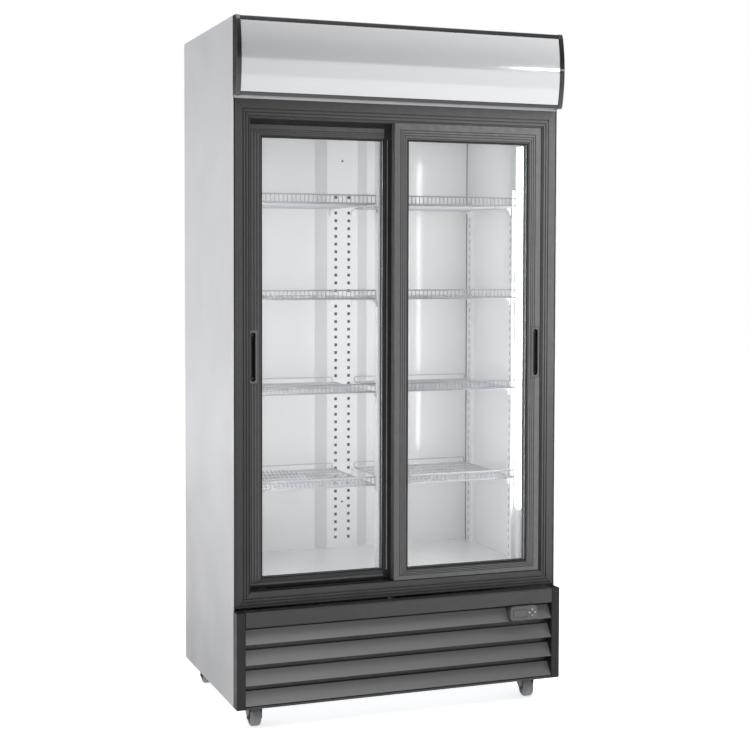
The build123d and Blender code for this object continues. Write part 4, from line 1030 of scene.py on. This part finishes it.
def uprights():
    """Slotted channels on the walls and the free-standing centre post, over dark core bars that paint the
    shade inside the slots.
    """
    x, _, z = spans("shelf_uprights")
    wall_z = (z[0], z[0] + 1140)
    rows = [z[0] + 25 * (i + 0.5) for i in range(45)]
    half_tall, half_width = 6.5, 15
    shells, shade_cores = bmesh.new(), bmesh.new()
    for y in UPRIGHT_Y:
        slotted_channel(shells, shade_cores, "X", x[1], x[1] - UPRIGHT_DEPTH, around(y, half_width), [y], rows,
                        (2.2, half_tall), wall_z)
    mirrored_mesh(shells)
    mirrored_mesh(shade_cores)
    front, back = around(UPRIGHT_Y[0], half_width)
    slotted_channel(shells, shade_cores, "Y", back, front, around(0, POST_HALF), [-4.5, 4.5], rows,
                    (2, half_tall), z)
    piece("slotted_uprights", shells, liner_paint, nodes=["shelf_uprights"], bevel=0.4)
    piece("slotted_upright_shade_cores", shade_cores, gasket_rubber_and_painted_shade, bevel=0.3)


def slotted_channel(shells, shade_cores, facing, back, front, across, columns, rows, slot, z):
    """Upright channel whose face, between back and front, has a slot at every row and column."""
    half_w, half_h = slot
    sign = 1 if back > front else -1

    def box(bm, depth, side, height):
        depth, side = sorted(depth), sorted(side)
        add_box(bm, depth if facing == "X" else side, side if facing == "X" else depth, height)

    skin = (front, front + sign * SHEET)
    edges = sorted([across[0]] + [c + d for c in columns for d in (-half_w, half_w)] + [across[1]])
    for low, high in zip(edges[::2], edges[1::2]):
        box(shells, skin, (low, high), z)
    for column in columns:
        cuts = [z[0]] + [r + d for r in rows for d in (-half_h, half_h)] + [z[1]]
        for low, high in zip(cuts[::2], cuts[1::2]):
            box(shells, skin, around(column, half_w), (low, high))
    for edge, inward in ((across[0], 1), (across[1], -1)):
        box(shells, (front + sign * SHEET, back), (edge, edge + inward * SHEET), z)
    # Dark core just behind the face: painted shade inside the slots.
    inset = 2.5 * SHEET
    box(shade_cores, (front + sign * 0.35 * SHEET, back), grow(across, -inset), grow(z, -inset))


# ---------------------------------------------------------------- casters
def caster_wheel(node, name):
    """Wheel with a crowned rubber tread, a recessed web and a hub."""
    x, _, z = spans(node)
    r, half, bore, soft = (z[1] - z[0]) / 2, (x[1] - x[0]) / 2, 3.7, 9
    side = [(bore, half), (6.4, half), (7.2, half - 0.6), (8, half - 3.6), (12, half - 3.6),
            (13.5, half - 0.4), (14.5, half)]
    side += arc((r - soft, half - 0.2 - soft), soft, 90, 0, 8)
    bm = bmesh.new()
    add_lathe(bm, side + [(a, -b) for a, b in side[::-1]], "X", centre_of(node), 64, hollow=True)
    piece(f"{name}_tyre", bm, tread_rubber, node, [node], bevel=0, angle=35)


def yoke(bm, axle, head_y, top):
    """Pressed fork: crown plate, two flared legs, and the axle bolt with its nut."""
    x, wheel_y, axle_z = axle
    inner, leg, wide = 17.5, 2.5, 9
    outer = inner + leg
    toward = 1 if wheel_y > head_y else -1
    add_box(bm, around(x, outer + wide), (wheel_y - 12, head_y + 15), (top - 2.5, top))
    for side in (-1, 1):
        outline = [(head_y - toward * 15, top), (wheel_y + toward * 12, top),
                   (wheel_y + toward * 12, top - 12)]
        outline += [(wheel_y + toward * 8.5 * math.cos(a), axle_z - 6.5 * math.sin(a))
                    for a in [math.pi * i / 10 for i in range(11)]]
        outline += [(head_y - toward * 15, top - 14)]
        add_prism(bm, 0, outline, *sorted((x + side * inner, x + side * outer)))
        web = [(x + side * (outer + out * wide), top - drop)
               for out, drop in ((0, 0), (1, 0), (1, 3), (0.4, 11), (0, 19))]
        add_prism(bm, 1, web, wheel_y + 0.2, wheel_y + 4.8)
        add_lathe(bm, [(5, 0), (5.4, side * 0.5), (5.4, side * 1.6), (3, side * 2)],
                  "X", (x + side * outer, wheel_y, axle_z), 6 if side > 0 else 28)
    add_lathe(bm, [(3.4, -inner), (3.4, inner)], "X", axle, 20)


def caster_top(bm, x, y, bottom):
    """Square top plate with round corners and four bolt heads."""
    outline = round_rect(around(x, 30), around(y, 28), 5)
    add_rings(bm, [[(a, b, z) for a, b in outline] for z in (bottom - 2.5, bottom)])
    for dx in (-20, 20):
        for dy in (-20, 20):
            add_lathe(bm, [(4.6, -6), (5.2, -5.4), (5.2, -2.5)], "Z", (x + dx, y + dy, bottom), 6)


def casters():
    """Front swivel casters with kingpin and bearing, and rear rigid ones."""
    bottom = spans("side_panel_left")[2][0]
    plates, rear = bmesh.new(), bmesh.new()
    for side, sign in (("left", -1), ("right", 1)):
        for end in ("front", "rear"):
            caster_wheel(f"caster_wheel_{end}_{side}", f"{end}_{side}")
        body = f"caster_fork_{side}"
        axle = centre_of(f"caster_wheel_front_{side}")
        top = spans(body)[2][1]
        fork = bmesh.new()
        yoke(fork, axle, SWIVEL_Y, top)
        add_lathe(fork, [(15.5, -5), (17, -3.4), (17, -1.2), (15.8, 0.0)], "Z", (axle[0], SWIVEL_Y, top), 48)
        piece(f"front_fork_{side}", fork, caster_steel, body, [body], bevel=0.6)
        swivel = (sign * SWIVEL_X, SWIVEL_Y, bottom)
        caster_top(plates, *swivel)
        add_lathe(plates, [(9.5, -6.4), (12.5, -4.6), (15, -2.5)], "Z", swivel, 48)
        add_lathe(plates, [(6.2, -15.3), (7, -14.4), (7, -12.6), (3.9, -12.6), (3.9, -6.3)], "Z", swivel, 32)
        axle = centre_of(f"caster_wheel_rear_{side}")
        caster_top(rear, axle[0], axle[1], bottom)
        yoke(rear, axle, axle[1] - 0.01, bottom - 2.4)
    piece("caster_top_plates", plates, zinc, nodes=["caster_plates"], bevel=0.4)
    piece("rear_brackets", rear, caster_steel, nodes=["rear_caster_brackets"], bevel=0.5)


# ---------------------------------------------------------------- build
side_panels()
top_deck()
surround()
for door in ("left", "right"):
    door_bars(door)
    gaskets_and_glass(door)
    handle(door)
    rollers(door)
interlock_stile()
canopy()
screw_heads()
grille()
louvres()
controller()
led_channels()
for door in ("left", "right"):
    for level in (1, 2, 3, 4):
        shelf(door, level)
shelf_clips()
duct_shade_sheet()
liner_seams()
uprights()
casters()

dress(liner_paint, "inner_liner", "evaporator_cover")
dress(make_duct_paint_and_shade(), "rear_duct")
dress(zinc, "back_panel", "base_frame")
dress(foam, "insulation_foam")
dress(coil_metal, "evaporator_coil")
dress(dark_plastic_and_painted_shade, "evaporator_fan", "condenser_fan")
dress(shell_black, "compressor", "condenser_coil", "condenser_shroud")


# ---------------------------------------------------------------- studio
def studio_floor():
    """Pale paper floor that lifts itself towards white away from the cooler."""
    mesh = bpy.data.meshes.new("studio_floor")
    reach = 14.0
    mesh.from_pydata([(-reach, -reach, 0), (reach, -reach, 0), (reach, reach, 0), (-reach, reach, 0)],
                     [], [(0, 1, 2, 3)])
    floor = bpy.data.objects.new("studio_floor", mesh)
    bpy.context.scene.collection.objects.link(floor)
    paper = Finish("studio paper", (0.93, 0.93, 0.93), 0.85, specular=0.2).mottle(0.7, 0.3, 0.985)
    distance = paper.node("VectorMath", {0: paper.place}, operation="LENGTH").outputs["Value"]
    paper.glow(paper.spread(distance, 0.6, 0.78, 0.8, 7.0))
    mesh.materials.append(paper.material)


def softbox(name, place, target, size, power, glossy=True):
    light = bpy.data.lights.new(name, "AREA")
    light.shape = "RECTANGLE"
    light.size, light.size_y = size
    light.energy = power
    lamp = bpy.data.objects.new(name, light)
    lamp.location = place
    lamp.rotation_euler = (Vector(target) - Vector(place)).to_track_quat("-Z", "Y").to_euler()
    lamp.visible_camera = False
    lamp.visible_glossy = glossy
    bpy.context.scene.collection.objects.link(lamp)


def surroundings():
    """White to the camera; for light and reflections, pale walls below a dark band and a ceiling."""
    world = bpy.data.worlds.new("studio")
    bpy.context.scene.world = world
    world.use_nodes = True
    tree = world.node_tree
    split = add_node(tree, "SeparateXYZ", {"Vector": add_node(tree, "TexCoord").outputs["Generated"]})
    height = add_node(tree, "MapRange", {"Value": split.outputs["Z"], "From Min": -1.0})
    ramp = add_node(tree, "ValToRGB", {"Fac": height.outputs["Result"]})
    stops = ((0.0, 0.88), (0.545, 0.88), (0.553, 0.10), (0.64, 0.08), (0.92, 0.75))
    while len(ramp.color_ramp.elements) < len(stops):
        ramp.color_ramp.elements.new(0.5)
    for element, (at, tone) in zip(ramp.color_ramp.elements, stops):
        element.position = at
        element.color = (tone, tone, tone, 1.0)
    shade = tree.nodes["Background"]
    feed(tree, shade.inputs["Color"], ramp.outputs["Color"])
    seen = add_node(tree, "Background", {"Color": (1.0, 1.0, 1.0, 1.0)})
    path = add_node(tree, "LightPath")
    pick = add_node(tree, "MixShader", {0: path.outputs["Is Camera Ray"], 1: shade.outputs["Background"],
                                        2: seen.outputs["Background"]})
    feed(tree, tree.nodes["World Output"].inputs["Surface"], pick.outputs["Shader"])


def camera():
    """Long lens from the front left, a little above the middle, level with the upper doors."""
    data = bpy.data.cameras.new("camera")
    data.sensor_width = 36.0
    data.lens = 71.21
    data.shift_x = 0.0014
    data.shift_y = -0.0684
    eye = bpy.data.objects.new("camera", data)
    yaw, pitch, roll = (math.radians(a) for a in (20.5647, 2.2662, 0.1325))
    ahead = Vector((math.sin(yaw) * math.cos(pitch), math.cos(yaw) * math.cos(pitch), -math.sin(pitch)))
    right = Vector((math.cos(yaw), -math.sin(yaw), 0.0))
    up = right.cross(ahead)
    right, up = (right * math.cos(roll) + up * math.sin(roll), up * math.cos(roll) - right * math.sin(roll))
    turn = Matrix((right, up, -ahead)).transposed().to_4x4()
    eye.matrix_world = Matrix.Translation((-1.57503, -4.239, 1.30685)) @ turn
    bpy.context.scene.collection.objects.link(eye)
    bpy.context.scene.camera = eye


studio_floor()
surroundings()
softbox("key", (2.0, -2.0, 2.9), (0.4, -0.2, 1.4), (1.2, 1.5), 66.0, False)
softbox("strip", (2.3, -3.84, 2.45), (0.42, -0.3, 1.95), (0.42, 0.03), 1.2)
softbox("fill", (-2.8, -0.2, 1.9), (-0.5, 0.0, 1.2), (1.8, 1.8), 19.0)
softbox("cabinet glow left", (-0.22, -0.13, 1.02), (-0.22, 0.3, 0.98), (0.3, 1.3), 1.15, False)
softbox("cabinet glow right", (0.22, -0.13, 1.02), (0.22, 0.3, 0.98), (0.3, 1.3), 1.55, False)
softbox("overhead", (0.0, -0.9, 3.7), (0.0, -0.2, 0.0), (2.6, 2.0), 45.0)
camera()
bpy.context.scene.view_settings.view_transform = "Standard"
bpy.context.scene.view_settings.look = "None"
